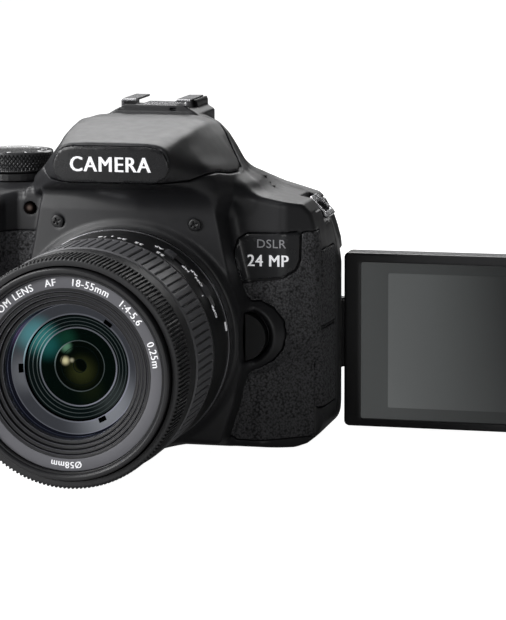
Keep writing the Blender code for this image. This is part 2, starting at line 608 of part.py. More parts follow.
def make_lens():
    axis = (0, LENS_Z)
    at_lens = (0, FLANGE_Y, LENS_Z)
    bayonet = turned("lens_bayonet", [(32.7, -46.0), (32.7, -44.3), (25.2, -44.3), (25.2, -38.8), (22.6, -38.8),
                                      (22.6, -46.0)], axis)
    for k in range(3):
        tab = [(26.7, -41.0), (26.7, -39.8), (24.6, -39.8), (24.6, -41.0)]
        join(bayonet, turned("tab", tab, axis, 6, 120 * k - 25, 50))
    finish(bayonet, STEEL, at_lens, True)

    barrel = turned("lens_barrel", [
        (BARREL_R, -46.3), (23.2, -46.3), (12.0, -47.2), (12.0, -51.0), (23.2, -50.0), (30.7, -50.0), (30.7, -84.6), (31.6, -84.6),
        (31.6, -66.0), (BARREL_R, -66.0)], axis)
    for angle in (35, 61):
        pocket = box("b", (-4.2, 4.2), (-59.6, -54.4), (LENS_Z + 32.2, LENS_Z + 40))
        cut(barrel, turn_about_lens(pocket, angle))
    finish(barrel, BLACK_PLASTIC, at_lens, True)
    for name, angle in (("focus_mode_switch", 33), ("stabiliser_switch", 59)):
        slider = box(name, (-1.7, 1.7), (-59.2, -54.8), (LENS_Z + 32.55, LENS_Z + 33.9))
        finish(turn_about_lens(slider, angle), SOFT_BLACK, at_lens)

    ribs = []
    for i in range(96):
        angle = math.tau * i / 96
        radius = BARREL_R if i % 2 else BARREL_R - 0.45
        ribs.append((radius * math.sin(angle), LENS_Z + radius * math.cos(angle)))
    zoom = prism("zoom_ring", ribs, "Y", *ZOOM_RING_Y)
    cut(zoom, rod("bore", "Y", axis, 32.0, -90, -60, ROUND))
    finish(zoom, RUBBER, (0, -76, LENS_Z))

    finish(turned("inner_barrel", [
        (INNER_R, LENS_FRONT_Y), (28.3, LENS_FRONT_Y), (28.3, -96.2), (16.5, -96.2), (16.5, -94.3),
        (28.8, -94.3), (28.8, -52.0), (INNER_R, -52.0)], axis), BLACK_PLASTIC, smooth=True)
    finish(turned("focus_ring", [
        (30.6, -86.3), (30.6, -103.6), (31.6, -103.6), (32.3, -102.6), (32.3, -92.2), (33.0, -91.4),
        (33.0, -86.3)], axis, 64), RUBBER, (0, -95, LENS_Z), True)
    finish(turned("name_ring", [
        (27.9, -103.2), (24.2, -103.2), (23.4, -102.0), (22.4, -101.0), (21.4, -100.2), (21.4, -96.6),
        (27.9, -96.6)], axis), BLACK_PLASTIC, smooth=True)
    finish(lens_glass("front_element", 21.0, -96.6, -99.8), GLASS, smooth=True)
    finish(lens_glass("rear_element", 11.6, -48.2, -50.6), GLASS, smooth=True)


def lens_glass(name, radius, back, front):
    """A plano-convex lens: flat at back, and bulging to front on the axis."""
    rim = back + (front - back) * 0.45
    loops = [[(x, back, z) for x, z in circle((0, LENS_Z), radius, 36)]]
    for share in (1.0, 0.85, 0.6, 0.3):
        y = front + (rim - front) * share**2
        loops.append([(x, y, z) for x, z in circle((0, LENS_Z), radius * share, 36)])
    return loft(name, loops)


def main():
    for obj in list(bpy.data.objects):
        bpy.data.objects.remove(obj)
    make_covers()
    make_skins()
    make_inside()
    make_bottom_door()
    make_shoe()
    make_flash()
    make_dials()
    make_lugs()
    make_controls()
    make_screen()
    make_lens()


main()
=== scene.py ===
"""The looks of the reflex camera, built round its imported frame.

Lengths are in millimetres until a mesh is made, in the frame's axes: +X to the right of someone who faces
the lens, -Y the way the lens looks, +Z up.
"""

import json
import math

import bmesh
import bpy
import numpy as np
import openvdb
from mathutils import Matrix, Vector


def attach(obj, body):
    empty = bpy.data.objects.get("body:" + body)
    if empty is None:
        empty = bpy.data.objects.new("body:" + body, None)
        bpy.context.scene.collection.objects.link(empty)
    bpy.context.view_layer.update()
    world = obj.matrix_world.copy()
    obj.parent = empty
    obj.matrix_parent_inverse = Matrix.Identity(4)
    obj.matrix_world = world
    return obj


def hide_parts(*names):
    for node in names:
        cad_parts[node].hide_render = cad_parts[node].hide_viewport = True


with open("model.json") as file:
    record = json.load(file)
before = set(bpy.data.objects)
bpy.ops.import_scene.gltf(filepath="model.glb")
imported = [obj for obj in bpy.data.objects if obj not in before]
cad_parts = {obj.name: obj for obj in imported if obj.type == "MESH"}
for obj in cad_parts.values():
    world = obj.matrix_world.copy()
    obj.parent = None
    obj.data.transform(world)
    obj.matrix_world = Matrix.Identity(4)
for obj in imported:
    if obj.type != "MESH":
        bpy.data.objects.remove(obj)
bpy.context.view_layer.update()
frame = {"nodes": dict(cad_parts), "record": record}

MM = 0.001
AXIS_Z = 35.8  # height of the lens axis
TOP_Z = 78.4  # height of the flat top beside the hump
FRONT_Y = -105.8  # front rim of the lens

# ---------------------------------------------------------------- materials


class Look:
    """A procedural material round one Principled shader, with textures in the frame's own space."""

    def __init__(self, name, **sockets):
        self.material = bpy.data.materials.new(name)
        self.material.use_nodes = True
        self.tree = self.material.node_tree
        self.shader = self.tree.nodes["Principled BSDF"]
        for socket, value in sockets.items():
            self.shader.inputs[socket.replace("_", " ")].default_value = value
        self.place = self.tree.nodes.new("ShaderNodeTexCoord").outputs["Object"]

    def node(self, kind, settings=(), **inputs):
        made = self.tree.nodes.new("ShaderNode" + kind)
        for key, value in dict(settings).items():
            setattr(made, key, value)
        for key, value in inputs.items():
            self.feed(made.inputs[int(key[1:]) if key[0] == "_" else key.replace("_", " ")], value)
        return made

    def feed(self, socket, value):
        if isinstance(value, bpy.types.NodeSocket):
            self.tree.links.new(value, socket)
        else:
            socket.default_value = value

    def math(self, operation, one, two=0.0, three=0.0):
        return self.node("Math", {"operation": operation}, _0=one, _1=two, _2=three).outputs[0]

    def noise(self, size_mm, detail=2.0, rough=0.5, stretch=(1, 1, 1)):
        where = self.place
        if stretch != (1, 1, 1):
            where = self.node("Mapping", Vector=where, Scale=stretch).outputs[0]
        made = self.node("TexNoise", Vector=where, Scale=1000.0 / size_mm, Detail=detail, Roughness=rough)
        return made.outputs["Fac"]

    def mix(self, factor, one, two):
        made = self.node("Mix", {"data_type": "RGBA"}, Factor=factor)
        self.feed(made.inputs[6], one)
        self.feed(made.inputs[7], two)
        return made.outputs[2]

    def ramp(self, value, *stops):
        made = self.node("ValToRGB", Fac=value)
        elements = made.color_ramp.elements
        while len(elements) < len(stops):
            elements.new(0.5)
        for element, (at, colour) in zip(elements, stops):
            element.position = at
            element.color = rgba(colour)
        return made.outputs["Color"]

    def bump(self, height, depth_mm, strength=1.0):
        made = self.node("Bump", Height=height, Distance=depth_mm * MM, Strength=strength)
        if self.shader.inputs["Normal"].links:
            self.feed(made.inputs["Normal"], self.shader.inputs["Normal"].links[0].from_socket)
        self.feed(self.shader.inputs["Normal"], made.outputs[0])

    def colour(self, value):
        self.feed(self.shader.inputs["Base Color"], value)

    def roughness(self, value, low, high):
        made = self.node("MapRange", Value=value, _3=low, _4=high)
        self.feed(self.shader.inputs["Roughness"], made.outputs[0])

    def spot(self, centre, radius):
        """1 at a point of the frame (mm), falling to 0 at the radius."""
        away = self.node("VectorMath", {"operation": "DISTANCE"}, _0=self.place)
        away.inputs[1].default_value = Vector(centre) * MM
        made = self.node("MapRange", {"interpolation_type": "SMOOTHERSTEP"}, Value=away.outputs["Value"])
        for index, value in ((1, 0.0), (2, radius * MM), (3, 1.0), (4, 0.0)):
            made.inputs[index].default_value = value
        return made.outputs[0]


def rgba(colour):
    if isinstance(colour, (int, float)):
        colour = (colour,) * 3
    return (*colour, 1.0) if len(colour) == 3 else tuple(colour)


def tint(colour, factor):
    return rgba([c * factor for c in rgba(colour)[:3]])


def plastic(name, colour, rough, grain=0.35, depth=0.012, mottle=0.16, **sockets):
    look = Look(name, **sockets)
    broad = look.noise(14.0, 3.0)
    look.colour(look.mix(broad, tint(colour, 1 - mottle), tint(colour, 1 + mottle)))
    look.roughness(look.noise(3.0, 4.0), rough - 0.07, rough + 0.07)
    look.bump(look.noise(grain, 3.0, 0.6), depth)
    return look.material


def leather(name, dark, light, cell=0.85, depth=0.16):
    """Rubber moulded with a pebbled leather grain, painted lighter on the crests and darker in the hollows:
    painted highlight and painted shade.
    """
    look = Look(name, Specular_IOR_Level=0.42)
    wobble = look.node("TexNoise", Vector=look.place, Scale=1000.0 / 1.6, Detail=2.0)
    shift = look.node("VectorMath", {"operation": "MULTIPLY_ADD"}, _0=wobble.outputs["Color"], _2=look.place)
    shift.inputs[1].default_value = (0.0011, 0.0011, 0.0011)
    cells = look.node("TexVoronoi", {"feature": "SMOOTH_F1"}, Vector=shift.outputs[0], Scale=1000.0 / cell)
    cells.inputs["Smoothness"].default_value = 0.35
    # Painted highlight on the crests of the grain and painted shade in its hollows.
    height = look.ramp(cells.outputs["Distance"], (0.0, 1.0), (0.35, 0.8), (0.85, 0.0))
    look.colour(look.mix(height, rgba(dark), rgba(light)))
    look.roughness(height, 0.72, 0.5)
    look.bump(look.noise(0.25, 2.0), 0.01)
    look.bump(height, depth)
    return look.material


def metal(name, colour, rough, stretch=(1, 1, 1), size=4.0):
    look = Look(name, Metallic=1.0)
    streak = look.noise(size, 3.0, 0.6, stretch)
    look.colour(look.mix(streak, tint(colour, 0.86), rgba(colour)))
    look.roughness(streak, rough - 0.06, rough + 0.08)
    return look.material


BODY = plastic("body_moulded_plastic", (0.0135, 0.0136, 0.0155), 0.42, 0.30, 0.008, Specular_IOR_Level=0.5)
BODY_SATIN = plastic("satin_plastic", (0.0085, 0.0085, 0.0095), 0.32, 0.5, 0.003)
# Black plastic, also set on the speaker holes as painted shade.
BLACK_AND_HOLE_SHADE = plastic("black_plastic_and_hole_shade", (0.0035, 0.0035, 0.004), 0.5, 0.4, 0.006)
NOSE = plastic("nose_plate_plastic", (0.0085, 0.0085, 0.0098), 0.27, 0.4, 0.002)
BADGE = plastic("badge_plate_plastic", (0.020, 0.0205, 0.0225), 0.26, 0.5, 0.002)
# The light tone is painted highlight on the grain's crests, the dark tone painted shade in its hollows.
LEATHER = leather("leather_grained_rubber", (0.005, 0.005, 0.0057), (0.095, 0.095, 0.101), 0.66, 0.20)
RUBBER = plastic("ring_rubber", (0.013, 0.013, 0.0145), 0.52, 0.25, 0.010)
BARREL = plastic("barrel_plastic", (0.0075, 0.0075, 0.0085), 0.34, 0.3, 0.005)
RIM = plastic("rim_plastic", (0.013, 0.013, 0.0145), 0.38, 0.3, 0.006)
NAME_RING = plastic("name_ring_plastic", (0.115, 0.115, 0.128), 0.5, 0.25, 0.004)
BAFFLE = plastic("baffle_plastic", (0.012, 0.012, 0.0138), 0.34, 0.4, 0.004)
SWITCH = plastic("switch_plastic", (0.055, 0.055, 0.060), 0.34, 0.5, 0.003)
ZOOM_RUBBER = plastic("zoom_rubber", (0.120, 0.120, 0.128), 0.42, 0.25, 0.008)
KEY = plastic("key_plastic", (0.007, 0.007, 0.0078), 0.36, 0.5, 0.004)
# White print that also glows a little: a painted glow on top of its lit white.
GLOWING_WHITE_INK = plastic(
    "white_ink_painted_glow", (0.80, 0.80, 0.82), 0.5, 0.2, 0.002, 0.04,
    Emission_Color=(0.8, 0.8, 0.82, 1), Emission_Strength=0.35,
)
GREY_INK = plastic("grey_ink", (0.34, 0.34, 0.36), 0.5, 0.2, 0.002, 0.04)
CHROME = metal("satin_chrome", (0.62, 0.62, 0.64), 0.22)
DARK_METAL = metal("black_nickel", (0.20, 0.20, 0.21), 0.3)
SHOE_METAL = metal("shoe_metal", (0.10, 0.10, 0.105), 0.35)
RING_LINE = plastic("ring_line", (0.060, 0.060, 0.070), 0.4, 0.4, 0.002)
DIAL_LOOK = plastic("dial_plastic", (0.030, 0.030, 0.032), 0.24, 0.4, 0.003)


# ---------------------------------------------------------------- pieces


def piece(obj, body, looks, replaced=(), slot=None, smooth=True):
    """Hangs a finished mesh on its CAD body."""
    for look in looks if isinstance(looks, (list, tuple)) else [looks]:
        obj.data.materials.append(look)
    if smooth:
        obj.data.shade_smooth()
        obj.data.set_sharp_from_angle(angle=math.radians(38))
    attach(obj, body)
    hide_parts(*replaced)
    return obj


def mesh_object(name, points, faces):
    mesh = bpy.data.meshes.new(name)
    points = np.asarray(points, np.float32) * MM
    if isinstance(faces, np.ndarray):
        mesh.vertices.add(len(points))
        mesh.vertices.foreach_set("co", points.ravel())
        mesh.loops.add(faces.size)
        mesh.loops.foreach_set("vertex_index", faces.ravel().astype(np.int32))
        mesh.polygons.add(len(faces))
        mesh.polygons.foreach_set("loop_start", np.arange(len(faces), dtype=np.int32) * faces.shape[1])
        mesh.update(calc_edges=True)
    else:
        mesh.from_pydata(points.tolist(), [], faces)
        work = bmesh.new()
        work.from_mesh(mesh)
        bmesh.ops.recalc_face_normals(work, faces=work.faces)
        work.to_mesh(mesh)
        work.free()
    obj = bpy.data.objects.new(name, mesh)
    bpy.context.scene.collection.objects.link(obj)
    return obj


# Signed distances: negative inside, in millimetres.


def both(a, b, radius=0.0):
    """Where both are solid, with the edge between them rounded."""
    if np.isscalar(radius) and not radius:
        return np.maximum(a, b)
    u, v = np.maximum(a + radius, 0), np.maximum(b + radius, 0)
    return np.minimum(np.maximum(a, b), -radius) + np.sqrt(u * u + v * v)


def either(a, b, radius=0.0):
    return -both(-a, -b, radius)


def less(a, b, radius=0.0):
    return both(a, -b, radius)


def inset(points, distance):
    moved = []
    for i, here in enumerate(points):
        before, here, after = Vector(points[i - 1]), Vector(here), Vector(points[(i + 1) % len(points)])
        one, two = (here - before).normalized(), (after - here).normalized()
        normal_one, normal_two = Vector((-one.y, one.x)), Vector((-two.y, two.x))
        middle = (normal_one + normal_two).normalized()
        moved.append(tuple(here + middle * (distance / max(0.3, middle.dot(normal_one)))))
    return moved


def polygon(u, v, points, radius=0.0):
    """Distance in a plane to an anticlockwise outline, with its corners rounded."""
    points = inset(points, radius) if radius else points
    near, sign = np.float32(1e9), np.float32(1)
    for i, (ax, ay) in enumerate(points):
        bx, by = points[i - 1]
        ex, ey = bx - ax, by - ay
        wx, wy = u - ax, v - ay
        along = np.clip((wx * ex + wy * ey) / (ex * ex + ey * ey), 0, 1)
        near = np.minimum(near, (wx - ex * along) ** 2 + (wy - ey * along) ** 2)
        above, below, left = v >= ay, v < by, ex * wy > ey * wx
        sign = np.where((above & below & left) | (~above & ~below & ~left), -sign, sign)
    return (sign * np.sqrt(near) - radius).astype(np.float32)


class Space:
    """A block of space, cut into cells, in which shapes are drawn as signed distances."""

    def __init__(self, x, y, z, step):
        self.step = step
        self.line = [np.arange(a, b + step, step, dtype=np.float32) for a, b in (x, y, z)]
        self.low = np.array([x[0], y[0], z[0]])
        self.x = self.line[0][:, None, None]
        self.y = self.line[1][None, :, None]
        self.z = self.line[2][None, None, :]

    def front(self, points, radius=0.0):
        """A prism along Y, from its outline in X and Z."""
        return polygon(self.line[0][:, None], self.line[2][None, :], points, radius)[:, None, :]

    def plan(self, points, radius=0.0):
        return polygon(self.line[0][:, None], self.line[1][None, :], points, radius)[:, :, None]

    def side(self, points, radius=0.0):
        return polygon(self.line[1][:, None], self.line[2][None, :], points, radius)[None, :, :]

    def box(self, x, y, z, radius=0.0):
        found = None
        for place, (low, high) in ((self.x, x), (self.y, y), (self.z, z)):
            slab = np.abs(place - (low + high) / 2) - (high - low) / 2
            found = slab if found is None else both(found, slab, radius)
        return found

    def rod(self, axis, centre, radius, low, high, edge=0.0):
        u, v, w = (self.x, self.z, self.y) if axis == "Y" else (self.x, self.y, self.z)
        round_part = np.sqrt((u - centre[0]) ** 2 + (v - centre[1]) ** 2) - radius
        return both(round_part, np.abs(w - (low + high) / 2) - (high - low) / 2, edge)

    def mesh(self, name, field):
        field = np.broadcast_to(field, [len(line) for line in self.line])
        band = 3 * self.step
        grid = openvdb.FloatGrid(band)
        grid.copyFromArray(np.clip(field, -band, band).astype(np.float32))
        points, quads = grid.convertToQuads(0.0)
        return mesh_object(name, points * self.step + self.low, quads.astype(np.int64))


def blurred(field, cells):
    """The field averaged over a small cube, which rounds both its ridges and its hollows."""
    for axis in range(3):
        pad = [(0, 0)] * 3
        pad[axis] = (cells + 1, cells)
        total = np.cumsum(np.pad(field, pad, mode="edge"), axis=axis, dtype=np.float64)
        width = 2 * cells + 1
        take = [slice(None)] * 3
        upper, lower = list(take), list(take)
        upper[axis], lower[axis] = slice(width, None), slice(None, -width)
        field = ((total[tuple(upper)] - total[tuple(lower)]) / width).astype(np.float32)
    return field


# ---------------------------------------------------------------- body shell

PLAN = [
    (-37.5, -28), (51.6, -28), (53.6, -26), (55.0, -12), (55.8, 0), (56.1, 11), (54.4, 18), (52.6, 19.5),
    (-66, 19.5), (-71, 14), (-74.4, 2), (-75.6, -18), (-75, -34), (-69, -43.5), (-60.5, -47), (-52, -46.5),
    (-46, -43.5), (-42.6, -37), (-40.6, -31),
]
SILHOUETTE = [
    (-67.5, 0), (47, 0), (50.4, 0.9), (53.4, 3.2), (55.8, 6.2), (57.4, 10.5), (57.4, 56), (54.9, 65.6),
    (52.6, 72), (50.2, 75.0), (32, 78.6), (-63, TOP_Z), (-70.4, 76.3), (-74.8, 71), (-75.5, 64),
    (-75.5, 9), (-73.6, 3.5),
]
PANEL_HALF = [
    (24, -2), (28.5, 5), (32, 16), (33.8, 28), (34, 36), (33.4, 44), (31.5, 52.5), (29.2, 62.5),
    (27, 74.5), (25.8, 79.4), (23.8, 82.6), (20, 84.6),
]
HUMP = {
    -56.6: [(8, 95.6), (12.8, 95.3), (15.9, 94.2), (17, 92.4), (17.5, 90), (17.5, 88), (16.8, 86),
            (15.2, 84.4), (13, 83.8)],
    -41.0: [(9, 97.5), (14, 97.4), (18.0, 96.8), (19.8, 93.8), (22.2, 90.6), (24.1, 88), (25, 85.5),
            (25.6, 83.5), (25.4, 80)],
    -30.0: [(10.5, 98.8), (15.5, 98.7), (18.9, 98.1), (21.8, 94.2), (24.9, 90.1), (27.5, 86.5), (29.3, 83.8),
            (31, 80.5), (31, 77)],
    -20.0: [(11.5, 99.7), (16.2, 99.6), (19.6, 98.9), (23.2, 94.9), (26.6, 90.8), (29.5, 86.8), (32, 83.7),
            (34.8, 80.8), (35, 76)],
    -10.0: [(12, 99.8), (17.2, 99.3), (21.5, 97.5), (24.4, 94.7), (26.8, 91), (29.1, 87), (31.1, 83.8),
            (34, 80.8), (35, 76)],
    0.0: [(11.5, 99.2), (15.3, 98.6), (19, 96.8), (22, 93.7), (24.3, 90.2), (26.8, 85.8), (29, 82.8),
          (31.6, 80.2), (33, 76)],
    12.6: [(10, 97), (13.5, 96.3), (16.5, 94.7), (19, 92.1), (21.3, 88.6), (23.8, 84.2), (26, 81.1),
           (28.5, 78.6), (30, 75)],
    19.8: [(10, 90.3), (13.5, 90), (16, 89.2), (18.2, 87.3), (20, 84.6), (22, 82), (24, 79.7), (26.5, 77.4),
           (28, 74)],
}
HEAD_KEEP = [
    (-70, 84.0), (-47, 84.2), (-41, 85.6), (-36, 85.7), (-29, 84.6), (-23.5, 84.5), (-20.4, 85.6),
    (-18.2, 87.9), (-9.2, 98.9), (-9.2, 110), (-70, 110),
]
HEAD_CLEAR = [
    (-70, 83.6), (-47, 83.8), (-41, 85.2), (-36, 85.3), (-29, 84.2), (-23.3, 84.1), (-20.0, 85.2),
    (-17.7, 87.6), (-9.9, 96.9), (-7.9, 98.6), (-7.9, 110), (-70, 110),
]
BACK_OUTLINE = [
    (-100, -20), (54.9, -20), (54.9, 53), (53.7, 59.7), (51.2, 67), (48, 72.5), (46.5, 73.8), (36, 77.0),
    (30, 80), (30, 120), (-100, 120),
]
SIDE_LEATHER = [
    (31.0, 3.4), (60, 3.4), (60, 66.5), (50.2, 66.5), (49.9, 58), (48.8, 55), (45, 52.7), (32.2, 51.3),
    (32.6, 48.6), (34.2, 45.9), (38.4, 46.6), (42.6, 44.4), (45.6, 40.5), (46.4, 36), (45.4, 31.6),
    (42.6, 28.2), (38.6, 26.2), (34.9, 25.2), (33.2, 20.6), (31.7, 16.6), (28.9, 10.4), (28.7, 6.0),
]
BADGE_PLATE = [
    (32.0, 51.9), (44.8, 53.3), (48.3, 55.4), (49.4, 58.2), (49.7, 66.6), (34.2, 66.2), (31.6, 64.6),
    (30.8, 61.4), (31.0, 57),
]
GRIP_LEATHER = [(-80, 4.5), (-30.6, 4.5), (-30.6, 65.2), (-80, 65.2)]
COVERS = {"terminal_cover_upper": (37.0, 60.0), "terminal_cover_lower": (12.0, 35.8)}
REAR_BUTTONS = {
    "menu_button": (43.0, 64.5, 2.9), "info_button": (33.5, 64.5, 2.9),
    "live_view_button": (-26.0, 64.5, 3.1),
    "exposure_lock_button": (-53.0, 67.0, 2.7), "focus_start_button": (-39.5, 67.0, 2.9),
    "quick_button": (-41.0, 47.5, 2.7), "playback_button": (-42.0, 8.5, 2.7),
    "set_button": (-52.0, 27.0, 5.8),
}
DIAL = (-45.2, -4.0)
SHUTTER = (-57.0, -40.5)
GRIP_TILT = math.atan(0.4)
SCREWS = (-21.2, 21.2)
RELEASE_X = 34.0
GUARD_CREST = 8.9  # radius at which the guard round the release button is highest
KNUCKLE = (52.55, 14.6)
KNUCKLE_HEIGHTS = ((41.3, 47.0), (9.0, 18.7))
SPEAKER_HOLES = ((34.2, -3.8), (36.0, -5.9), (37.8, -8.0))


def mirrored(half):
    return half + [(-x, z) for x, z in reversed(half)]


def lug_outline(side):
    shape = [(46.5, 82), (46.5, 73.2), (51.2, 67.6), (62, 66), (62, 82)]
    return [(x, z) for x, z in reversed(shape)] if side > 0 else [(-20.2 - x, z) for x, z in shape]


def hump_field(space):
    """The hump, slice by slice along Y, from its cross-sections."""
    keys = list(HUMP)
    table = np.array([HUMP[key] for key in keys])
    xs, zs = space.line[0], space.line[2]
    field = np.full([len(line) for line in space.line], 30, np.float32)
    wide, high = np.abs(xs) < 44, zs > 70
    for j, y in enumerate(space.line[1]):
        if keys[0] - 4 < y < keys[-1] + 4:
            half = [
                tuple(np.interp(y, keys, table[:, k, axis]) for axis in (0, 1)) for k in range(table.shape[1])
            ]
            outline = [(x, z) for x, z in reversed(mirrored(half))]
            found = polygon(xs[wide][:, None], zs[high][None, :], outline)
            field[np.ix_(wide, [j], high)] = found[:, None, :]
    return both(field, np.maximum(keys[0] - space.y, space.y - keys[-1]), 1.2)


def slope_above_grip(space, lift=0.0):
    plane = -0.371 * (space.y + 24.5) + 0.928 * (space.z - TOP_Z - lift)
    return plane - 4 * np.clip(space.x + 35.5, 0, 8)


def from_lens(space):
    return np.sqrt(space.x**2 + (space.z - AXIS_Z) ** 2)


def outer_body(space):
    """The body's outer surface with its hump, before any hole."""
    x, y, z = space.x, space.y, space.z
    main = both(space.plan(PLAN, 1.4), space.front(SILHOUETTE, 1.6), 2.0)
    main = both(main, slope_above_grip(space), 2.4)
    # Below the strap lug the front corner on the lens's right is worn down to a wider slant for the fingers.
    slant = 0.62 * (x - 54.9) - 0.785 * (y + 20.5 - 5.0 * np.clip((34 - z) / 8, 0, 1))
    main = both(main, slant, 1.0)
    main = both(main, space.front(BACK_OUTLINE, 2.0) - 0.22 * np.maximum(12.6 - y, 0), 1.5)
    crown = -41.2 + 0.0026 * x**2 + 0.06 * np.maximum(z - 74, 0)
    panel = both(space.front(mirrored(PANEL_HALF), 2.6) - 0.10 * (y + 41), crown - y, 0.55)
    panel = both(panel, y + 20, 0)
    away = from_lens(space)
    collar = both(away - 34.4 - 0.25 * np.clip(y + 41.2, 0, 9), np.maximum(-41.4 - y, y + 27), 1.0)
    hump = blurred(blurred(hump_field(space), 2), 1)
    ring = np.sqrt((x - RELEASE_X) ** 2 + (z - AXIS_Z) ** 2)
    outside = -32.0 + 3.9 * (np.maximum(ring - GUARD_CREST, 0) / 3.7) ** 1.6
    crest = np.where(ring > GUARD_CREST, outside, -32.0 + 0.9 * (GUARD_CREST - ring))
    boss = both((crest - y) * 0.8, np.maximum(ring - 12.8, y + 24), 0.3)
    body = either(main, boss, 0.8)
    body = either(body, panel, 2.6)
    body = both(body, -0.233 * (y + 23) - 0.972 * z, 1.0)
    body = either(body, hump, np.interp(x, [-34, -16, 4], [1.2, 2.0, 6.5]).astype(np.float32))
    plinth = space.box((-14.2, 14.2), (-7.4, 13.4), (94, 102.3))
    plinth = both(plinth, np.abs(x) + 1.7 * (z - 102.2) - 9.7, 0.5)
    along = np.maximum(-1.5 - y - 0.9 * (z - 103.4), y - 13.4)
    cheek = both(np.abs(np.abs(x) - 11.3) - 0.75, np.maximum(along, 94 - z))
    cheek = both(cheek, np.maximum(z - 103.5, z - 103.5 + 1.3 * (np.abs(x) - 11.6)), 0.3)
    plinth = either(plinth, cheek, 0.2)
    for slot_x in (-10.4, 6.2):
        plinth = less(plinth, space.box((slot_x - 0.9, slot_x + 0.9), (-9, -6.4), (100.7, 101.3)))
    well = space.box((-11.05, 11.05), (-5.95, 40), (100.15, 120))
    body = less(either(body, plinth, 0.4), well)
    for low, high in KNUCKLE_HEIGHTS:
        body = either(body, space.rod("Z", KNUCKLE, 3.1, low, high, 0.5), 0.6)
    return either(body, collar, 1.6)


def small_rod(name, centre, radius, low, high, count=20):
    """An upright rod with flat ends."""
    turns = [2 * math.pi * k / count for k in range(count)]
    rim = [(centre[0] + radius * math.cos(t), centre[1] + radius * math.sin(t)) for t in turns]
    points = [(*point, z) for z in (low, high) for point in rim]
    faces = [tuple(range(count)), tuple(range(count, 2 * count))]
    faces += [(k, (k + 1) % count, count + (k + 1) % count, count + k) for k in range(count)]
    return mesh_object(name, points, faces)


def raised_inlay(body, region, low, high, edge=0.25):
    """A skin let into the body's surface, from low under it to high above it, inside the region."""
    return both(both(region, body - high, edge), -(body - low))


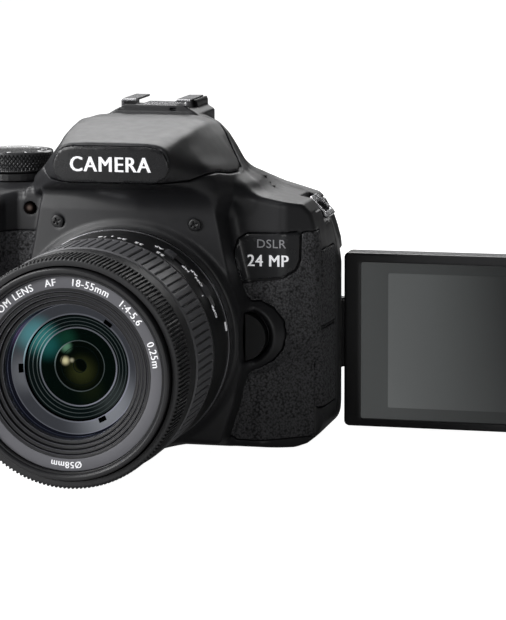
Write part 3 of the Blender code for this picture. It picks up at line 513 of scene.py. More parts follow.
def make_body():
    space = Space((-77, 57), (-59, 22), (-1.2, 103.2), 0.42)
    x, y, z = space.x, space.y, space.z
    outer = outer_body(space)
    body = both(outer, -z, 0)

    side_leather = both(space.front(SIDE_LEATHER, 0.6), np.maximum(y + 17.6, -30.4 - y))
    grip_leather = both(space.front(GRIP_LEATHER, 1.5), y + 6.0)
    badge = both(space.front(BADGE_PLATE, 0.8), np.maximum(y + 22, -30.4 - y))
    nose = space.front(mirrored([(13.6, 84.1), (16.6, 85.7), (17.7, 88), (17.5, 90.4), (16.2, 92.8),
                                 (14.3, 94.1), (11.0, 94.7)]), 1.0)
    skins = (
        ("side_leather", side_leather, LEATHER, ["side_rubber"], "grip_rubber", 0.35),
        ("grip_leather", grip_leather, LEATHER, ["grip_rubber"], "grip_rubber", 0.35),
        ("badge_plate", badge, BADGE, [], "body_plastic", 0.15),
    )
    for name, region, look, replaced, slot, high in skins:
        inlay = space.mesh(name, raised_inlay(outer, region, -0.75, high))
        piece(inlay, "camera_body", look, replaced, slot)
        body = less(body, both(region - 0.32, -(outer + 0.9)))
    for name, limits in COVERS.items():
        low, high = limits
        region = both(space.side([(-16.8, low), (-1.5, low), (-1.5, high), (-16.8, high)], 1.0), 50 - x)
        cover = space.mesh(name + "_skin", raised_inlay(outer, region, -1.3, 0.25))
        piece(cover, name, LEATHER, [name], "grip_rubber")
        body = less(body, both(region - 0.35, -(outer + 1.65)))

    body = less(body, space.box((-34.2, 100), (10.9, 40), (-10, 56.4)), 0.5)
    for side in (1, -1):
        pocket = both(space.front(lug_outline(side)), np.abs(y + 2.5) - 6.5, 0.4)
        body = less(body, pocket, 0.5)
    head = space.side(list(HEAD_KEEP))
    lid = both(outer, head, 0.35)
    # A low spine under the lid, in a groove of the lid, keeps light out of the gap.
    clear = space.side(HEAD_CLEAR)
    spine = np.maximum(np.maximum(np.abs(x) - 1.5, outer + 1.4), np.maximum(y + 12.5, -43 - y))
    body = less(body, less(clear, both(spine, -clear - 1.0)), 0.3)
    lid = less(lid, both(np.maximum(np.abs(x) - 2.1, outer + 0.9), -head - 1.6))
    body = less(body, space.rod("Z", DIAL, 13.0, 78.5, 100), 0.3)
    body = less(body, space.box((-62.0, -52.0), (-34.8, -21.2), (64, 90), 0.6), 0.3)
    body = less(body, both(space.side([(2, 76.4), (30, 72.6), (30, 90), (2, 90)]), x + 30, 2.0), 1.0)
    tilted = (z - TOP_Z) * math.cos(GRIP_TILT) - (y + 24.5) * math.sin(GRIP_TILT)
    lean = (SHUTTER[1] + 24.5) * 0.4
    along = (y - SHUTTER[1]) * math.cos(GRIP_TILT) + (z - TOP_Z - lean) * math.sin(GRIP_TILT)
    from_button = np.sqrt((x - SHUTTER[0]) ** 2 + along**2)
    body = less(body, both(from_button - 5.3, -tilted - 5.4), 0.3)
    body = less(body, space.rod("Z", (-58, -19), 2.9, 73.8, 90), 0.2)

    shell = less(body, both(body + 2.3, -(z - 2.4)) - 0.1)
    away = from_lens(space)
    shell = less(shell, both(away - 27.9, np.maximum(y + 36, -60 - y)), 0.4)
    for bx, bz, radius in REAR_BUTTONS.values():
        shell = less(shell, space.rod("Y", (bx, bz), radius + 0.4, 16, 30), 0.25)
    shell = less(shell, space.box((-10.5, 10.5), (8, 30), (73.6, 84.0), 0.5))
    from_release = np.sqrt((x - RELEASE_X) ** 2 + (z - AXIS_Z) ** 2)
    pocket = both(from_release - 7.6, np.maximum(34.6 - x, y + 28.2))
    shell = less(shell, pocket, 0.3)
    shell = less(shell, space.rod("Y", (-33.6, 72.2), 1.9, -34, -22), 0.3)
    shell = less(shell, space.box((-68.5, -50.0), (-32.0, 2.0), (-3, 2.6), 0.4))
    shell = less(shell, space.rod("Z", (0, -12), 6.8, -3, 4), 0.2)
    for sx in SCREWS:
        shell = less(shell, space.rod("Y", (sx, 70.1), 2.15, -45, -39.9), 0.15)
    for seam in (np.abs(z - 71.95), np.abs(y - 1.15) + np.maximum(z - 71.9, 0)):
        line = np.maximum(seam - 0.24, -(outer + 0.55))
        shell = less(shell, both(line, np.maximum(-16 - y, -(np.abs(x + 10) - 20))))
    # Each speaker hole is a dark plug on the surface: painted shade where the hole would be.
    for k, (sx, sy) in enumerate(SPEAKER_HOLES):
        column = outer[int((sx - space.low[0]) / space.step), int((sy - space.low[1]) / space.step)]
        top = space.line[2][np.nonzero(column < 0)[0][-1]] + 0.3
        hole = small_rod(f"speaker_hole_shade_{k}", (sx, sy), 0.5, top - 1.2, top)
        piece(hole, "camera_body", BLACK_AND_HOLE_SHADE, slot="body_plastic")
    obj = space.mesh("body_shell", shell)
    covers = ["front_cover", "rear_cover", "top_cover", "bottom_cover"]
    piece(obj, "camera_body", BODY, covers, "body_plastic")

    lid = less(lid, both(nose - 0.25, np.maximum(y + 55.7, -60 - y)), 0.1)
    lid = less(lid, space.box((-13, 13), (-39, -14), (80, 93)), 0.3)
    lid = less(lid, space.box((-12, 12), (-54.6, -44.4), (80, 87)), 0.3)
    piece(space.mesh("flash_lid", lid), "flash", BODY, ["flash_head"], "body_plastic")
    plate = both(nose, np.maximum(-57.35 - y + 0.0016 * x**2, y + 55.9), 0.35)
    piece(space.mesh("nose_cover", plate), "flash", NOSE, ["nose_plate"], "body_plastic")


make_body()


# ---------------------------------------------------------------- turned pieces


def rounded(outline, radius, steps=3):
    """The closed outline with every corner turned into a small arc."""
    made = []
    for i, corner in enumerate(outline):
        after = outline[(i + 1) % len(outline)]
        before, here, after = (Vector(point[:2]) for point in (outline[i - 1], corner, after))
        size = min(radius, 0.45 * (before - here).length, 0.45 * (after - here).length)
        start = here + (before - here).normalized() * size
        end = here + (after - here).normalized() * size
        for k in range(steps + 1):
            t = k / steps
            made.append(start * (1 - t) ** 2 + here * (2 * t * (1 - t)) + end * t * t)
    return made


def turned(name, outline, segments=256, radius=0.25, wave=None, centre=(0.0, AXIS_Z), axis="Y"):
    """A ring turned about an axis, from its closed outline of (place along the axis, radius)."""
    outline = np.array([tuple(p) for p in (rounded(outline, radius) if radius else outline)])
    after = np.roll(outline, -1, axis=0)
    turn = np.sum(outline[:, 0] * after[:, 1] - after[:, 0] * outline[:, 1])
    angle = np.linspace(0, 2 * math.pi, segments, endpoint=False)[:, None]
    along, away = outline[None, :, 0] + 0 * angle, np.maximum(outline[None, :, 1], 0.004) + 0 * angle
    if wave:
        away = away + wave(along, away, angle)
    across, up = away * np.sin(angle), away * np.cos(angle)
    if axis == "Y":
        points = np.stack([centre[0] + across, along, centre[1] + up], axis=-1)
    else:
        points = np.stack([centre[0] + across, centre[1] + up, along], axis=-1)
        turn = -turn
    count = len(outline)
    i, j = np.meshgrid(np.arange(segments), np.arange(count), indexing="ij")
    i2, j2 = (i + 1) % segments, (j + 1) % count
    quads = np.stack([i * count + j, i2 * count + j, i2 * count + j2, i * count + j2], axis=-1).reshape(-1, 4)
    if turn > 0:
        quads = quads[:, ::-1]
    return mesh_object(name, points.reshape(-1, 3), np.ascontiguousarray(quads))


def ribs(count, depth, face, low, high, base):
    """Flat-topped ribs along the axis: the gaps between them are cut down, away from both ends."""

    def wave(along, away, angle):
        part = np.abs((angle * count / (2 * math.pi)) % 1.0 - 0.5) * 2
        gap = np.clip((face - part) / 0.12 + 0.5, 0, 1)
        ends = np.clip((along - low) / 0.5, 0, 1) * np.clip((high - along) / 0.5, 0, 1)
        return -depth * gap * ends * (away > base)

    return wave


def lettering(name, text, height, place, depth=0.06, spacing=1.0, stretch=1.0, bold=0.0):
    """Raised letters: each point (across, up, out) of the flat text, from its middle, is put in place."""
    curve = bpy.data.curves.new(name, "FONT")
    curve.body, curve.size, curve.space_character = text, height * 1.4, spacing
    curve.align_x, curve.align_y = "CENTER", "CENTER"
    curve.extrude, curve.resolution_u = depth / 2, 3
    holder = bpy.data.objects.new(name, curve)
    bpy.context.scene.collection.objects.link(holder)
    bpy.context.view_layer.update()
    made = holder.evaluated_get(bpy.context.evaluated_depsgraph_get()).to_mesh()
    flat = [v.co.copy() for v in made.vertices]
    sides = [tuple(p.vertices) for p in made.polygons]
    points, faces = [], []
    for k, shift in enumerate((-bold, 0.0, bold) if bold else (0.0,)):
        out = depth / 2 + 0.004 * k
        points += [place(v.x * stretch + shift, v.y, v.z + out) for v in flat]
        faces += [tuple(i + k * len(flat) for i in side) for side in sides]
    bpy.data.objects.remove(holder)
    work = bmesh.new()
    vertices = [work.verts.new(p) for p in points]
    for face in faces:
        if len(set(face)) > 2:
            try:
                work.faces.new([vertices[k] for k in face])
            except ValueError:
                pass
    bmesh.ops.remove_doubles(work, verts=work.verts, dist=1e-4)
    bmesh.ops.recalc_face_normals(work, faces=work.faces)
    mesh = bpy.data.meshes.new(name)
    work.to_mesh(mesh)
    work.free()
    mesh.transform(Matrix.Scale(MM, 4))
    obj = bpy.data.objects.new(name, mesh)
    bpy.context.scene.collection.objects.link(obj)
    return obj


def on_front(y, clock, radius):
    """Bent round the lens axis on a face that looks forward, its middle at the clock angle."""

    def place(u, v, w):
        turn = math.radians(clock) + u / radius
        away = radius + v
        return (away * math.sin(turn), y - w, AXIS_Z + away * math.cos(turn))

    return place


def on_barrel(y, clock, radius):
    """Bent round the barrel's side, its foot towards the camera body."""

    def place(u, v, w):
        turn = math.radians(clock) - u / radius
        away = radius + w
        return (away * math.sin(turn), y - v, AXIS_Z + away * math.cos(turn))

    return place


def ink(obj, body, look, slot=None):
    return piece(obj, body, look, slot=slot, smooth=False)


# ---------------------------------------------------------------- lens


def glass(name, tone, strength=0.9, rough=0.02, ior=1.5):
    """Coated glass: clear to look through, with a tinted gloss that grows towards the edge."""
    look = Look(name)
    tree = look.tree
    clear = look.node("BsdfTransparent")
    clear.inputs["Color"].default_value = rgba((0.90, 0.91, 0.91))
    gloss = look.node("BsdfGlossy")
    gloss.inputs["Color"].default_value = rgba(tone)
    gloss.inputs["Roughness"].default_value = rough
    rim = look.node("Fresnel")
    rim.inputs["IOR"].default_value = ior
    # Coated glass reflects almost nothing head on.
    slanted = look.math("MAXIMUM", look.math("SUBTRACT", rim.outputs[0], 0.06), 0.0)
    amount = look.math("MULTIPLY", slanted, strength)
    both_shaders = look.node("MixShader", _0=amount, _1=clear.outputs[0], _2=gloss.outputs[0])
    tree.links.new(both_shaders.outputs[0], tree.nodes["Material Output"].inputs["Surface"])
    tree.nodes.remove(look.shader)
    return look.material


def lit_ring(name, colour, strength=0.0, rough=0.5, painted_glow_patches=()):
    """A ring seen through the glass, its tone glowing by the given strength, with soft patches of painted
    reflection that glow as well.
    """
    look = Look(name, Roughness=rough, Specular_IOR_Level=0.0)
    tone, glow = rgba(colour), rgba(tint(colour, strength))
    grain = look.noise(6.0, 2.0)
    tone = look.mix(grain, tint(colour, 0.8), tint(colour, 1.2))
    # Each patch paints a glowing reflection into the ring's tone.
    for centre, radius, paint, power in painted_glow_patches:
        near = look.spot(centre, radius)
        tone = look.mix(near, tone, rgba(paint))
        glow = look.mix(near, glow, rgba(tint(paint, power)))
    look.colour(look.mix(0.8, tone, rgba(0.0)))
    look.feed(look.shader.inputs["Emission Color"], glow)
    look.shader.inputs["Emission Strength"].default_value = 1.0
    return look.material



def make_barrel():
    barrel = [
        (-84.4, 30.7), (-84.4, 31.6), (-66.0, 31.6), (-66.0, 33.0), (-65.2, 33.25), (-49.2, 33.25),
        (-48.6, 32.9), (-46.4, 32.7), (-46.4, 30.4), (-66, 30.4), (-66, 30.7),
    ]

    def pockets(along, away, angle):
        sink = 0 * along
        for clock in (35, 61):
            side = np.abs((angle - math.radians(clock) + math.pi) % (2 * math.pi) - math.pi) * 33.25
            sink = np.maximum(sink, np.clip((4.3 - side) / 0.35, 0, 1))
        inside = np.clip((along + 59.9) / 0.3, 0, 1) * np.clip((-54.1 - along) / 0.3, 0, 1)
        return -1.0 * sink * inside * (away > 32.5)

    along_pockets = [(y, 33.25) for y in (-61, -60, -59.6, -59.4, -57, -54.6, -54.4, -54.1, -53)]
    detailed = barrel[:5] + along_pockets + barrel[5:]
    piece(turned("barrel", detailed, 720, 0.2, pockets), "lens", BARREL, ["lens_barrel"], "lens_plastic")
    collar = [(-66.3, 32.3), (-66.3, 33.35), (-65.85, 33.35), (-65.85, 32.3)]
    piece(turned("barrel_edge", collar, 256, 0.1), "lens", RIM, slot="lens_plastic")
    band = [(-48.2, 32.6), (-48.2, 33.5), (-46.6, 33.5), (-46.6, 32.6)]
    piece(turned("mount_band", band, 256, 0.15), "lens", DARK_METAL, slot="lens_plastic")


def make_grip_rings():
    zoom = [(-85.5, 32.05), (-85.5, 33.0), (-85.1, 33.3)] + [(y, 33.3) for y in (-84.6, -84.2, -83.6)]
    zoom += [(y, 33.3) for y in (-68.4, -67.8, -67.4)] + [(-66.9, 33.3), (-66.5, 33.0), (-66.5, 32.05)]
    grip = ribs(88, 0.85, 0.22, -84.7, -67.3, 32.6)
    piece(turned("zoom_grip", zoom, 1080, 0.12, grip), "zoom_ring", ZOOM_RUBBER, ["zoom_ring"], "ring_rubber")
    focus = [
        (-103.6, 30.65), (-103.6, 32.1), (-103.2, 32.9), (-92.6, 32.9), (-92.2, 32.9), (-92.0, 33.0),
        (-86.6, 33.1), (-86.3, 32.8), (-86.3, 30.65),
    ]
    focus = focus[:3] + [(y, 32.95) for y in (-102.9, -102.4, -93.2, -92.7)] + focus[4:]
    teeth = ribs(170, 0.75, 0.46, -103.5, -92.3, 31.9)
    piece(turned("focus_grip", focus, 1200, 0.1, teeth), "focus_ring", RUBBER, ["focus_ring"], "ring_rubber")


def make_inner_tube():
    inner = [
        (-85.9, 28.3), (-104.9, 28.3), (-105.5, 28.6), (FRONT_Y, 29.0), (FRONT_Y, 29.9), (-105.3, 30.2),
        (-52, 30.2), (-52, 28.3), (-66, 28.3),
    ]
    piece(turned("inner_tube_wall", inner, 256, 0.12), "inner_tube", RIM, ["inner_barrel"], "lens_plastic")
    for k in range(3):
        y = -105.0 + 0.6 * k
        thread = [(y, 27.95), (y + 0.34, 27.95), (y + 0.34, 28.5), (y, 28.5)]
        piece(turned(f"filter_thread_{k}", thread, 192, 0.08), "inner_tube", BODY_SATIN, slot="lens_plastic")
    ring = [(-103.2, 24.3), (-103.35, 27.75), (-102.2, 28.2), (-102.2, 24.3)]
    piece(turned("name_ring_face", ring, 256, 0.15), "inner_tube", NAME_RING, ["name_ring"], "lens_plastic")

    # Stepped baffles lead down from the name ring to the glass.
    levels = [
        (24.35, 23.1, -103.2, -102.7), (23.0, 21.8, -102.8, -101.8), (21.7, 20.5, -101.9, -100.9),
        (20.4, 19.2, -101.0, -99.4),
    ]
    for k, (outside, inside, y, deep) in enumerate(levels):
        shape = [(y, outside), (y + 0.15, inside + 0.25), (deep + 0.2, inside), (deep + 1.6, inside),
                 (deep + 1.6, outside)]
        piece(turned(f"baffle_{k}", shape, 256, 0.1), "inner_tube", BAFFLE, slot="lens_plastic")
        line = [(y + dy, inside + dr) for dy, dr in ((-0.04, 0.36), (-0.04, 0.2), (0.2, 0.2), (0.2, 0.36))]
        piece(turned(f"baffle_line_{k}", line, 192, 0.03), "inner_tube", RING_LINE, slot="lens_plastic")


def make_rings_behind_glass():
    """The rings and bowls behind the front glass, which lead down into the dark; their tones glow, with
    patches of painted reflection.
    """

    def at(x, z):
        return (x, -93.5, AXIS_Z + z)

    # Tints of painted reflection: cyan and violet glints at the upper left, a pale painted highlight at the
    # lower right.
    cyan, violet, pale = (0.14, 0.40, 0.44), (0.22, 0.13, 0.32), (0.50, 0.51, 0.56)
    dark = lit_ring("inner_black", (0.002, 0.003, 0.003), rough=0.6)
    outer = lit_ring("outer_painted_reflections", (0.012, 0.013, 0.022), 0.5, 0.5,
                     [(at(-15, 11), 9, violet, 0.35), (at(-12.5, 12.5), 6.0, cyan, 0.28)])
    band = lit_ring("band_painted_reflections", (0.058, 0.060, 0.070), 0.75, 0.5,
                    [(at(-12.5, 9.5), 8.5, cyan, 0.55), (at(10, -12), 17, pale, 0.40),
                     (at(-15.5, -2), 9, pale, 0.22)])
    edge = lit_ring("edge_painted_reflections", (0.17, 0.175, 0.20), 0.6, 0.5,
                    [(at(12, -11), 20, (0.5, 0.5, 0.6), 0.5), (at(-13, 6), 10, (0.5, 0.72, 0.8), 0.55)])
    step = lit_ring("step_painted_reflections", (0.005, 0.010, 0.010), 0.5, 0.5,
                    [(at(-10.5, 8.0), 7.5, (0.06, 0.30, 0.30), 0.55),
                     (at(10, -8), 10, (0.05, 0.06, 0.06), 0.5)])
    fine = lit_ring("fine_line", (0.10, 0.12, 0.12), 0.5, 0.5, [(at(-9, 6), 9, (0.45, 0.62, 0.60), 0.6)])
    deep = lit_ring("deep_painted_reflections", (0.003, 0.008, 0.006), 0.4, 0.5,
                    [(at(-8.5, 5.5), 6.5, (0.02, 0.16, 0.15), 0.6),
                     (at(-3.5, 7.5), 5.5, (0.015, 0.10, 0.06), 0.6),
                     (at(3, -6), 7.0, (0.014, 0.020, 0.008), 0.6)])
    # Bright painted glints, golden and green, in the heart of the lens.
    heart = lit_ring("heart_painted_reflections", (0.003, 0.006, 0.004), 0.4, 0.5,
                     [((-4.2, -90, AXIS_Z + 5.4), 2.6, (0.14, 0.32, 0.20), 0.6),
                      ((-4.3, -90, AXIS_Z + 1.3), 1.9, (0.80, 0.72, 0.42), 0.75),
                      ((-2.35, -89.6, AXIS_Z + 1.5), 1.2, (0.95, 0.88, 0.62), 0.85),
                      ((0.5, -90, AXIS_Z - 1.5), 6.5, (0.035, 0.040, 0.012), 0.6)])
    iris = lit_ring("iris_painted_reflections", (0.004, 0.007, 0.004), 0.4, 0.5,
                    [((0.4, -78, AXIS_Z - 0.3), 1.5, (0.30, 0.38, 0.12), 0.6),
                     ((-0.9, -78, AXIS_Z + 1.2), 1.2, (0.05, 0.20, 0.10), 0.6)])

    def washer(name, y, outside, inside, look, thick=0.5, round_by=0.08):
        shape = [(y, outside), (y, inside), (y + thick, inside), (y + thick, outside)]
        piece(turned(name, shape, 192, round_by), "inner_tube", look, slot="lens_glass")

    def well(name, top, bottom, look, wall=1.0):
        (y1, r1), (y2, r2) = top, bottom
        shape = [(y1, r1), (y2, r2), (y2 + 0.3, r2), (y2 + 0.3, r1 + wall), (y1, r1 + wall)]
        piece(turned(name, shape, 192, 0.06), "inner_tube", look, slot="lens_glass")

    well("outer_cone", (-99.2, 19.15), (-95.4, 18.75), outer, 0.7)
    washer("band_lip", -95.6, 18.85, 18.55, edge, 0.3, 0.05)
    slope = [(-95.3, 18.6), (-93.9, 15.75), (-93.5, 15.75), (-93.5, 18.8)]
    piece(turned("band_painted_reflections", slope, 256, 0.08), "inner_tube", band, slot="lens_glass")
    for clock, wide in ((36, 4.5), (152, 4.0), (268, 4.5)):
        start, end = math.radians(clock - wide), math.radians(clock + wide)
        points, faces, count = [], [], 7
        for k in range(count):
            turn = start + (end - start) * k / (count - 1)
            for y, r in ((-94.55, 16.9), (-94.15, 15.55), (-93.6, 15.55), (-93.6, 16.9)):
                points.append((r * math.sin(turn), y, AXIS_Z + r * math.cos(turn)))
        for k in range(count - 1):
            sides = [(4 * k + m, 4 * k + (m + 1) % 4) for m in range(4)]
            faces += [(a, b, b + 4, a + 4) for a, b in sides]
        faces += [(0, 1, 2, 3), tuple(4 * (count - 1) + m for m in (3, 2, 1, 0))]
        piece(mesh_object(f"band_tab_{clock}", points, faces), "inner_tube", dark, slot="lens_glass")
    washer("band_edge", -94.1, 15.75, 15.35, edge, 0.4, 0.06)
    well("ring_gap", (-93.9, 15.35), (-92.6, 14.7), dark, 0.4)
    for k, (r, y) in enumerate(((14.7, -93.1), (13.6, -92.6), (12.5, -92.2))):
        well(f"ring_step_{k}", (y, r), (y + 0.7, r - 1.1), step, 0.35)
        washer(f"ring_line_{k}", y + 0.05, r - 0.25, r - 0.42, fine, 0.3, 0.03)
    washer("glass_edge", -92.0, 11.45, 11.1, edge, 0.4, 0.06)
    bowl = [(-91.6 + 1.9 * (1 - (r / 11.2) ** 2), r) for r in (11.2, 10.2, 9.2, 8.2, 7.3)]
    bowl += [(-88, 7.3), (-88, 11.2)]
    piece(turned("glass_bowl", bowl, 192, 0.0), "inner_tube", deep, slot="lens_glass")
    washer("bowl_line", -91.0, 9.9, 9.75, fine, 0.3, 0.03)
    washer("heart_edge", -90.6, 7.45, 7.2, fine, 0.4, 0.04)
    dome = [(-90.2 + 1.4 * (r / 7.3) ** 2 * 0.2, r) for r in (7.3, 6.0, 4.8, 3.6, 2.4, 1.9)]
    funnel = dome + [(-86.0, 2.4), (-80.0, 3.0), (-78.6, 3.0), (-78.6, 7.3)]
    piece(turned("glass_heart", funnel, 160, 0.0), "inner_tube", heart, slot="lens_glass")
    for k, (r, y) in enumerate(((5.6, -90.25), (1.95, -90.25))):
        washer(f"heart_line_{k}", y, r + 0.07, r - 0.07, step, 0.3, 0.02)
    disc = [(-79.6, 0.0), (-79.4, 1.6), (-78.9, 3.0), (-78.2, 3.0), (-78.2, 0.0)]
    piece(turned("iris_glass", disc, 96, 0.0), "inner_tube", iris, slot="lens_glass")
    crown = [(-98.3 - 1.5 * (1 - (r / 19.0) ** 2), r) for r in (19.0, 17, 15, 13, 11, 9, 7, 5, 3, 1.5, 0.0)]
    crown += [(-97.6 - 1.5 * (1 - (r / 19.0) ** 2), r) for r in (0.0, 1.5, 5, 9, 13, 17, 19.0)]
    piece(turned("front_glass", crown, 192, 0.0), "inner_tube",
          glass("front_coating", (0.75, 0.82, 1.0), 0.8, 0.04), ["front_element"], "lens_glass")



def make_marks():
    words = (("ZOOM", -49), ("LENS", -29), ("AF", -10), ("18-55mm", 16), ("1:4-5.6", 46), ("0.25m", 76))
    for k, (word, clock) in enumerate(words):
        ink(lettering(f"ring_text_{k}", word, 2.1, on_front(-103.32, clock, 25.95), 0.05, 1.1, 0.95, 0.06),
            "inner_tube", GLOWING_WHITE_INK)
    ink(lettering("filter_text", "\u00d858mm", 1.9, on_front(-103.32, 181, 25.9), 0.05, 1.12, 0.95, 0.06),
        "inner_tube", GLOWING_WHITE_INK)
    for clock, number in ((2, "18"), (12, "24"), (21, "35"), (33, "55")):
        number_place = on_barrel(-63.2, clock - 3, 33.27)
        ink(lettering(f"zoom_{number}", number, 2.0, number_place, 0.05), "lens", GLOWING_WHITE_INK)
    labels = (
        (26.5, "AF", -57.6), (44, "MF", -58.6), (48, "AF", -55.4), (53, "ON", -57.0), (70, "OFF", -57.0),
    )
    for clock, label, y in labels:
        label_place = on_barrel(y, clock, 33.27)
        ink(lettering(f"label_{clock:g}", label, 1.6, label_place, 0.05, 1.0, 1.0, 0.07), "lens", GLOWING_WHITE_INK)
    bars = (
        ("mount_mark", 80, -49.6, 2.6, 1.5), ("zoom_mark", 3, -61.2, 0.35, 1.5),
        ("side_mark", 60, -61.6, 0.3, 1.2),
    )
    for name, clock, y, wide, long in bars:
        points = []
        for w in (0.01, 0.08):
            for u, v in ((-1, -1), (1, -1), (1, 1), (-1, 1)):
                points.append(on_barrel(y, clock, 33.26)(u * wide / 2, v * long / 2, w))
        faces = [(0, 1, 2, 3), (4, 5, 6, 7), (0, 1, 5, 4), (1, 2, 6, 5), (2, 3, 7, 6), (3, 0, 4, 7)]
        ink(mesh_object(name, points, faces), "lens", GLOWING_WHITE_INK)


def make_switches():
    """Sliding switch knobs, ridged across, on the side of the barrel."""
    wide, long = 9, 23
    for name, clock in (("focus_mode_switch", 33), ("stabiliser_switch", 59)):
        points, faces = [], []
        for a in np.linspace(-1.7, 1.7, wide):
            turn = math.radians(clock) + a / 33.0
            for k, y in enumerate(np.linspace(-59.2, -54.8, long)):
                top = 33.85 - 0.28 * (k % 2) - (0.25 if abs(a) > 1.6 or k in (0, long - 1) else 0)
                points += [(r * math.sin(turn), y, AXIS_Z + r * math.cos(turn)) for r in (32.6, top)]
        for i in range(wide):
            for j in range(long):
                here = 2 * (i * long + j)
                if i < wide - 1 and j < long - 1:
                    right, up, both_way = here + 2 * long, here + 2, here + 2 * long + 2
                    faces.append((here + 1, right + 1, both_way + 1, up + 1))
                    faces.append((here, up, both_way, right))
                if i in (0, wide - 1) and j < long - 1:
                    faces.append((here, here + 1, here + 3, here + 2))
                if j in (0, long - 1) and i < wide - 1:
                    faces.append((here, here + 2 * long, here + 2 * long + 1, here + 1))
        piece(mesh_object(name + "_knob", points, faces), name, SWITCH, [name], "control_plastic")


make_barrel()
make_grip_rings()
make_inner_tube()
make_rings_behind_glass()
make_marks()
make_switches()


# ---------------------------------------------------------------- screen


def screen_look(name, near, far):
    """A dark screen with a painted sheen across it that glows, lighter on the side of the hinge."""
    look = Look(name, Roughness=0.55)
    split = look.node("SeparateXYZ", Vector=look.place)
    across = look.math("MULTIPLY_ADD", split.outputs["X"], 1000 / 75.0, -61.0 / 75.0)
    across = look.math("MULTIPLY_ADD", split.outputs["Z"], 1000 / 42.3 * 0.12, across)
    soft = look.math("MULTIPLY_ADD", look.noise(30.0, 1.0), 0.04, across)
    cool = (0.98, 1.0, 1.0)
    fades = ((0.0, 0), (0.18, 0.1), (0.75, 1))
    stops = [(at, [near * (1 - part) * c + far * part * c for c in cool]) for at, part in fades]
    tone = look.ramp(soft, *stops)
    look.colour(look.mix(0.5, tone, rgba(0.0)))
    # The painted sheen is given out as emission.
    look.feed(look.shader.inputs["Emission Color"], tone)
    look.shader.inputs["Emission Strength"].default_value = 0.62
    look.shader.inputs["Specular IOR Level"].default_value = 0.2
    return look.material


def make_screen():
    space = Space((55, 139.4), (10.8, 19.6), (0, 56.4), 0.42)
    outline = [(55.7, 0.8), (138.6, 0.8), (138.6, 55.6), (55.7, 55.6)]
    case = both(space.front(outline, 1.6), np.maximum(11.5 - space.y, space.y - 18.9), 0.45)
    front = both(case, space.y - 13.7)
    mouth = space.front([(60.9, 3.2), (135.8, 3.2), (135.8, 52.6), (60.9, 52.6)], 0.8)
    front = less(front, mouth, 0.1)
    piece(space.mesh("screen_front", front), "screen", BODY_SATIN, ["screen_bezel"], "body_plastic")
    back = both(case, 13.98 - space.y, 0.2)
    pad = space.front([(62, 7), (132, 7), (132, 49), (62, 49)], 3.0)
    back = less(back, both(np.abs(pad) - 0.25, 18.45 - space.y), 0.1)
    gap = space.box((55, 63.25), (10, 19.6), (KNUCKLE_HEIGHTS[1][1], KNUCKLE_HEIGHTS[0][0]), 0.3)
    back = less(back, both(gap, space.x - 55.9), 0.1)
    piece(space.mesh("screen_shell", back), "screen", BODY, ["screen_back"], "body_plastic")

    def plate(name, x, z, y, look, slot="screen_glass", replaced=()):
        corners = rounded([(x[0], z[0]), (x[1], z[0]), (x[1], z[1]), (x[0], z[1])], 0.5)
        points = [(c[0], depth, c[1]) for depth in y for c in corners]
        count = len(corners)
        faces = [tuple(range(count)), tuple(range(2 * count - 1, count - 1, -1))]
        faces += [(k, (k + 1) % count, count + (k + 1) % count, count + k) for k in range(count)]
        piece(mesh_object(name, points, faces), "screen", look, replaced, slot, smooth=False)

    pane = ((61.0, 135.7), (3.3, 52.5))
    plate("screen_border", *pane, (12.5, 13.3), screen_look("screen_border", 0.112, 0.034))
    plate("display", (69.6, 132.6), (7.0, 49.3), (12.2, 12.48), screen_look("unlit_display", 0.200, 0.036))
    gloss = glass("screen_gloss", (1, 1, 1), 0.6, 0.05, 1.45)
    plate("screen_cover_glass", *pane, (11.72, 11.9), gloss, replaced=["screen_glass"])


make_screen()


# ---------------------------------------------------------------- small pieces


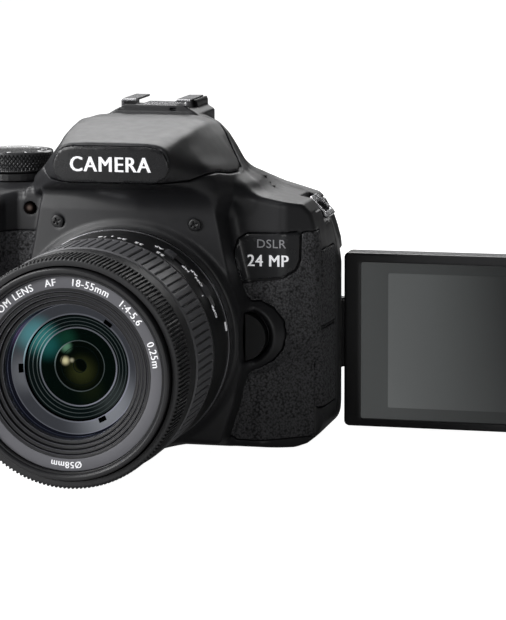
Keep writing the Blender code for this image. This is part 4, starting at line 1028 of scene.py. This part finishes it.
def make_small():
    for k, sx in enumerate(SCREWS):
        space = Space((sx - 2.1, sx + 2.1), (-42.3, -39.6), (68.0, 72.2), 0.12)
        away = np.sqrt((space.x - sx) ** 2 + (space.z - 70.1) ** 2)
        head = both(away - 1.85, np.maximum(-41.05 + 0.03 * away**2 - space.y, space.y + 39.9), 0.2)
        for turn in (0.4, 0.4 + math.pi / 2):
            u = (space.x - sx) * math.cos(turn) + (space.z - 70.1) * math.sin(turn)
            v = (space.z - 70.1) * math.cos(turn) - (space.x - sx) * math.sin(turn)
            head = less(head, both(both(np.abs(u) - 0.28, np.abs(v) - 1.1), space.y + 40.45), 0.05)
        piece(space.mesh(f"front_screw_{k}", head), "camera_body", KEY, slot="steel")
    # A painted glow at the middle of the lamp's dome.
    lamp_look = lit_ring("lamp_lens", (0.020, 0.014, 0.013), 0.0, 0.2,
                         [((-33.4, -29.2, 72.4), 1.3, (0.30, 0.22, 0.19), 0.15)])
    lamp = [(-28.9 - 0.5 * (1 - (r / 1.6) ** 2), r) for r in (1.6, 1.2, 0.8, 0.4, 0.0)]
    lamp += [(-27.4, 0.0), (-27.4, 1.6)]
    piece(turned("lamp_dome", lamp, 48, 0.0, None, (-33.6, 72.2)), "camera_body", lamp_look, ["focus_lamp"],
          "clear_plastic")

    # Mode dial: diamonds round its side, and generic marks round its top.
    def diamonds(along, away, angle):
        a = (angle * 56 / (2 * math.pi) + along * 0.62) % 1.0
        b = (angle * 56 / (2 * math.pi) - along * 0.62) % 1.0
        cut = np.minimum(np.abs(a - 0.5), np.abs(b - 0.5)) * 2
        ends = np.clip((along - 81.7) / 0.3, 0, 1) * np.clip((86.7 - along) / 0.3, 0, 1)
        return (-0.45 * np.clip(1 - cut / 0.35, 0, 1)) * ends * (away > 10.9)

    side = [(z, 11.4) for z in np.linspace(81.5, 86.9, 22)]
    dial = [(81.1, 0.0), (81.1, 11.0)] + side + [(87.2, 11.1), (87.35, 10.7), (87.2, 10.3), (87.2, 0.0)]
    piece(turned("mode_dial_cap", dial, 672, 0.0, diamonds, DIAL, "Z"), "mode_dial", DIAL_LOOK, ["mode_dial"],
          "control_plastic")
    for k, mark in enumerate(("M", "A", "S", "P", "1", "2", "3", "4", "5", "6")):
        turn = math.radians(36 * k)

        def place(u, v, w, turn=turn):
            v = v + 8.4
            x = DIAL[0] + u * math.cos(turn) + v * math.sin(turn)
            y = DIAL[1] - u * math.sin(turn) + v * math.cos(turn)
            return (x, y, 87.2 + w)

        ink(lettering(f"dial_{mark}", mark, 1.9, place, 0.05), "mode_dial", GLOWING_WHITE_INK)

    def front_text(y, x0, z0, curve=0.0):
        return lambda u, v, w: (x0 + u, y + curve * (x0 + u) ** 2 - w, z0 + v)

    nose_place = front_text(-57.37, 0.0, 89.3, 0.0016)
    ink(lettering("nose_word", "CAMERA", 4.5, nose_place, 0.05, 1.12, 0.92, 0.17), "flash", GLOWING_WHITE_INK)
    small_place, large_place = front_text(-28.25, 41.6, 63.2), front_text(-28.25, 40.6, 58.0)
    ink(lettering("badge_small", "DSLR", 2.6, small_place, 0.05, 1.05, 1.05), "camera_body", GREY_INK)
    ink(lettering("badge_large", "24 MP", 3.6, large_place, 0.05, 1.08, 0.92, 0.12), "camera_body", GLOWING_WHITE_INK)


make_small()


def make_shoe():
    space = Space((-11.4, 11.4), (-6.4, 12.6), (99.9, 104.2), 0.16)
    x, y, z = space.x, space.y, space.z
    base = space.box((-10.85, 10.85), (-5.7, 12), (100.32, 101.05), 0.15)
    length = np.maximum(-5.2 - y, y - 12)
    walls = both(np.abs(np.abs(x) - 10.3) - 0.6, np.maximum(length, 100.3 - z), 0.1)
    walls = both(walls, z - 103.8, 0.15)
    lips = both(np.abs(np.abs(x) - 8.6) - 2.3, np.maximum(length, np.abs(z - 103.45) - 0.35), 0.12)
    shoe = either(either(base, walls, 0.1), lips, 0.1)
    piece(space.mesh("shoe_rails", shoe), "camera_body", SHOE_METAL, ["accessory_shoe"], "steel")
    edge = both(lips, y + 4.4) - 0.04
    piece(space.mesh("shoe_edges", edge), "camera_body", CHROME, [], "steel")


make_shoe()


def make_lugs():
    """Strap lugs: slotted plates with rounded corners, each leaning back in its pocket."""
    for name, side in (("strap_lug_right", 1), ("strap_lug_left", -1)):
        space = Space((-1.2, 1.2), (-5.7, 5.7), (-4.7, 4.7), 0.16)
        plate = space.side([(-5.2, -4.2), (5.2, -4.2), (5.2, 4.2), (-5.2, 4.2)], 1.6)
        plate = less(plate, space.side([(-3.7, -2.3), (3.7, -2.3), (3.7, 1.6), (-3.7, 1.6)], 0.8))
        loop = space.mesh(name + "_loop", both(plate, np.abs(space.x) - 0.65, 0.3))
        centre = Vector((51.6 if side > 0 else -71.8, -2.5, 71.9)) * MM
        loop.data.transform(Matrix.Translation(centre) @ Matrix.Rotation(math.radians(-46 * side), 4, "Y"))
        piece(loop, "camera_body", CHROME, [name], "steel")


make_lugs()


# ---------------------------------------------------------------- carried-over pieces

NODE_LOOKS = {
    "body_plastic": BODY, "control_plastic": KEY, "lens_plastic": BARREL, "ring_rubber": RUBBER,
    "grip_rubber": LEATHER, "inner_plastic": BLACK_AND_HOLE_SHADE, "steel": CHROME,
}
NODE_LOOKS["mirror"] = metal("mirror_silver", (0.85, 0.85, 0.86), 0.08)
NODE_LOOKS["lens_glass"] = glass("rear_coating", (0.6, 0.8, 0.9), 0.8)
NODE_LOOKS["screen_glass"] = BLACK_AND_HOLE_SHADE
NODE_LOOKS["sensor_glass"] = plastic("sensor_cover", (0.03, 0.07, 0.08), 0.15, 0.5, 0.001)
NODE_LOOKS["circuit_board"] = plastic("board_lacquer", (0.02, 0.14, 0.06), 0.35, 0.8, 0.01)
NODE_LOOKS["clear_plastic"] = plastic("frosted_plastic", (0.55, 0.57, 0.60), 0.3, 0.6, 0.01)
OTHER_LOOKS = {"thumb_rubber": LEATHER, "eyecup": RUBBER, "shoe_contacts": CHROME, "strap_lug_left": CHROME}


def dress_nodes():
    slots = {}
    for part in frame["record"]["subparts"]:
        slots[part["node"]] = part["material_slot"]
    for name, obj in frame["nodes"].items():
        look = OTHER_LOOKS.get(name) or NODE_LOOKS.get(slots.get(name), BODY)
        obj.data.materials.clear()
        obj.data.materials.append(look)


dress_nodes()


def make_stage():
    corners = [(-4000, -3000, 0), (4000, -3000, 0), (4000, 9000, 0), (-4000, 9000, 0)]
    floor = mesh_object("floor", corners, [(0, 1, 2, 3)])
    look = Look("pale_floor", Roughness=0.9)
    look.colour(look.mix(look.noise(200.0, 2.0), rgba(0.34), rgba(0.36)))
    seen = look.node("LightPath").outputs["Is Camera Ray"]
    look.feed(look.shader.inputs["Emission Color"], look.mix(seen, rgba(0.05), rgba(0.99)))
    look.shader.inputs["Emission Strength"].default_value = 1.0
    floor.data.materials.append(look.material)


def area_light(name, place, target, size, power, tone=(1, 1, 1)):
    data = bpy.data.lights.new(name, "AREA")
    data.shape, data.size, data.size_y = "RECTANGLE", *size
    data.energy, data.color = power, tone
    lamp = bpy.data.objects.new(name, data)
    lamp.location = place
    lamp.rotation_euler = (Vector(target) - Vector(place)).to_track_quat("-Z", "Y").to_euler()
    bpy.context.scene.collection.objects.link(lamp)


def make_light():
    world = bpy.data.worlds.new("studio")
    bpy.context.scene.world = world
    world.use_nodes = True
    tree = world.node_tree
    ground = tree.nodes["Background"]
    seen = tree.nodes.new("ShaderNodeBackground")
    path = tree.nodes.new("ShaderNodeLightPath")
    pick = tree.nodes.new("ShaderNodeMixShader")
    ground.inputs["Color"].default_value = rgba(0.8)
    ground.inputs["Strength"].default_value = 0.06
    seen.inputs["Color"].default_value = rgba(1.0)
    seen.inputs["Strength"].default_value = 1.0
    tree.links.new(path.outputs["Is Camera Ray"], pick.inputs[0])
    tree.links.new(ground.outputs[0], pick.inputs[1])
    tree.links.new(seen.outputs[0], pick.inputs[2])
    tree.links.new(pick.outputs[0], tree.nodes["World Output"].inputs["Surface"])
    area_light("top_box", (-0.62, -0.12, 0.76), (0.0, -0.02, 0.05), (0.7, 0.6), 9)
    area_light("left_box", (-0.78, -1.0, 0.42), (0, -0.05, 0.05), (0.6, 0.7), 13)
    area_light("right_box", (0.60, -1.25, 0.30), (0.05, -0.03, 0.04), (0.5, 0.5), 1.8)
    area_light("back_box", (-0.1, 0.8, 0.6), (0, 0, 0.06), (1.0, 0.4), 5)


CAMERA_LENS = 177.5032  # mm, with a sensor 36 mm wide
CAMERA_SHIFT = (0.085806, -0.037742)
CAMERA_PLACE = (242.77, -909.87, 191.82)
CAMERA_TARGET = (20, -30, 50)
CAMERA_ROLL = math.radians(-0.34)


def make_camera():
    data = bpy.data.cameras.new("camera")
    data.sensor_width = 36.0
    data.lens = CAMERA_LENS
    data.shift_x, data.shift_y = CAMERA_SHIFT
    data.clip_start, data.clip_end = 0.05, 20.0
    camera = bpy.data.objects.new("camera", data)
    place = Vector(CAMERA_PLACE) * MM
    target = Vector(CAMERA_TARGET) * MM
    turn = (target - place).to_track_quat("-Z", "Y").to_matrix().to_4x4()
    camera.matrix_world = Matrix.Translation(place) @ turn @ Matrix.Rotation(CAMERA_ROLL, 4, "Z")
    bpy.context.scene.collection.objects.link(camera)
    bpy.context.scene.camera = camera


make_stage()
make_light()
make_camera()
bpy.context.scene.view_settings.view_transform = "Standard"
bpy.context.scene.view_settings.look = "None"
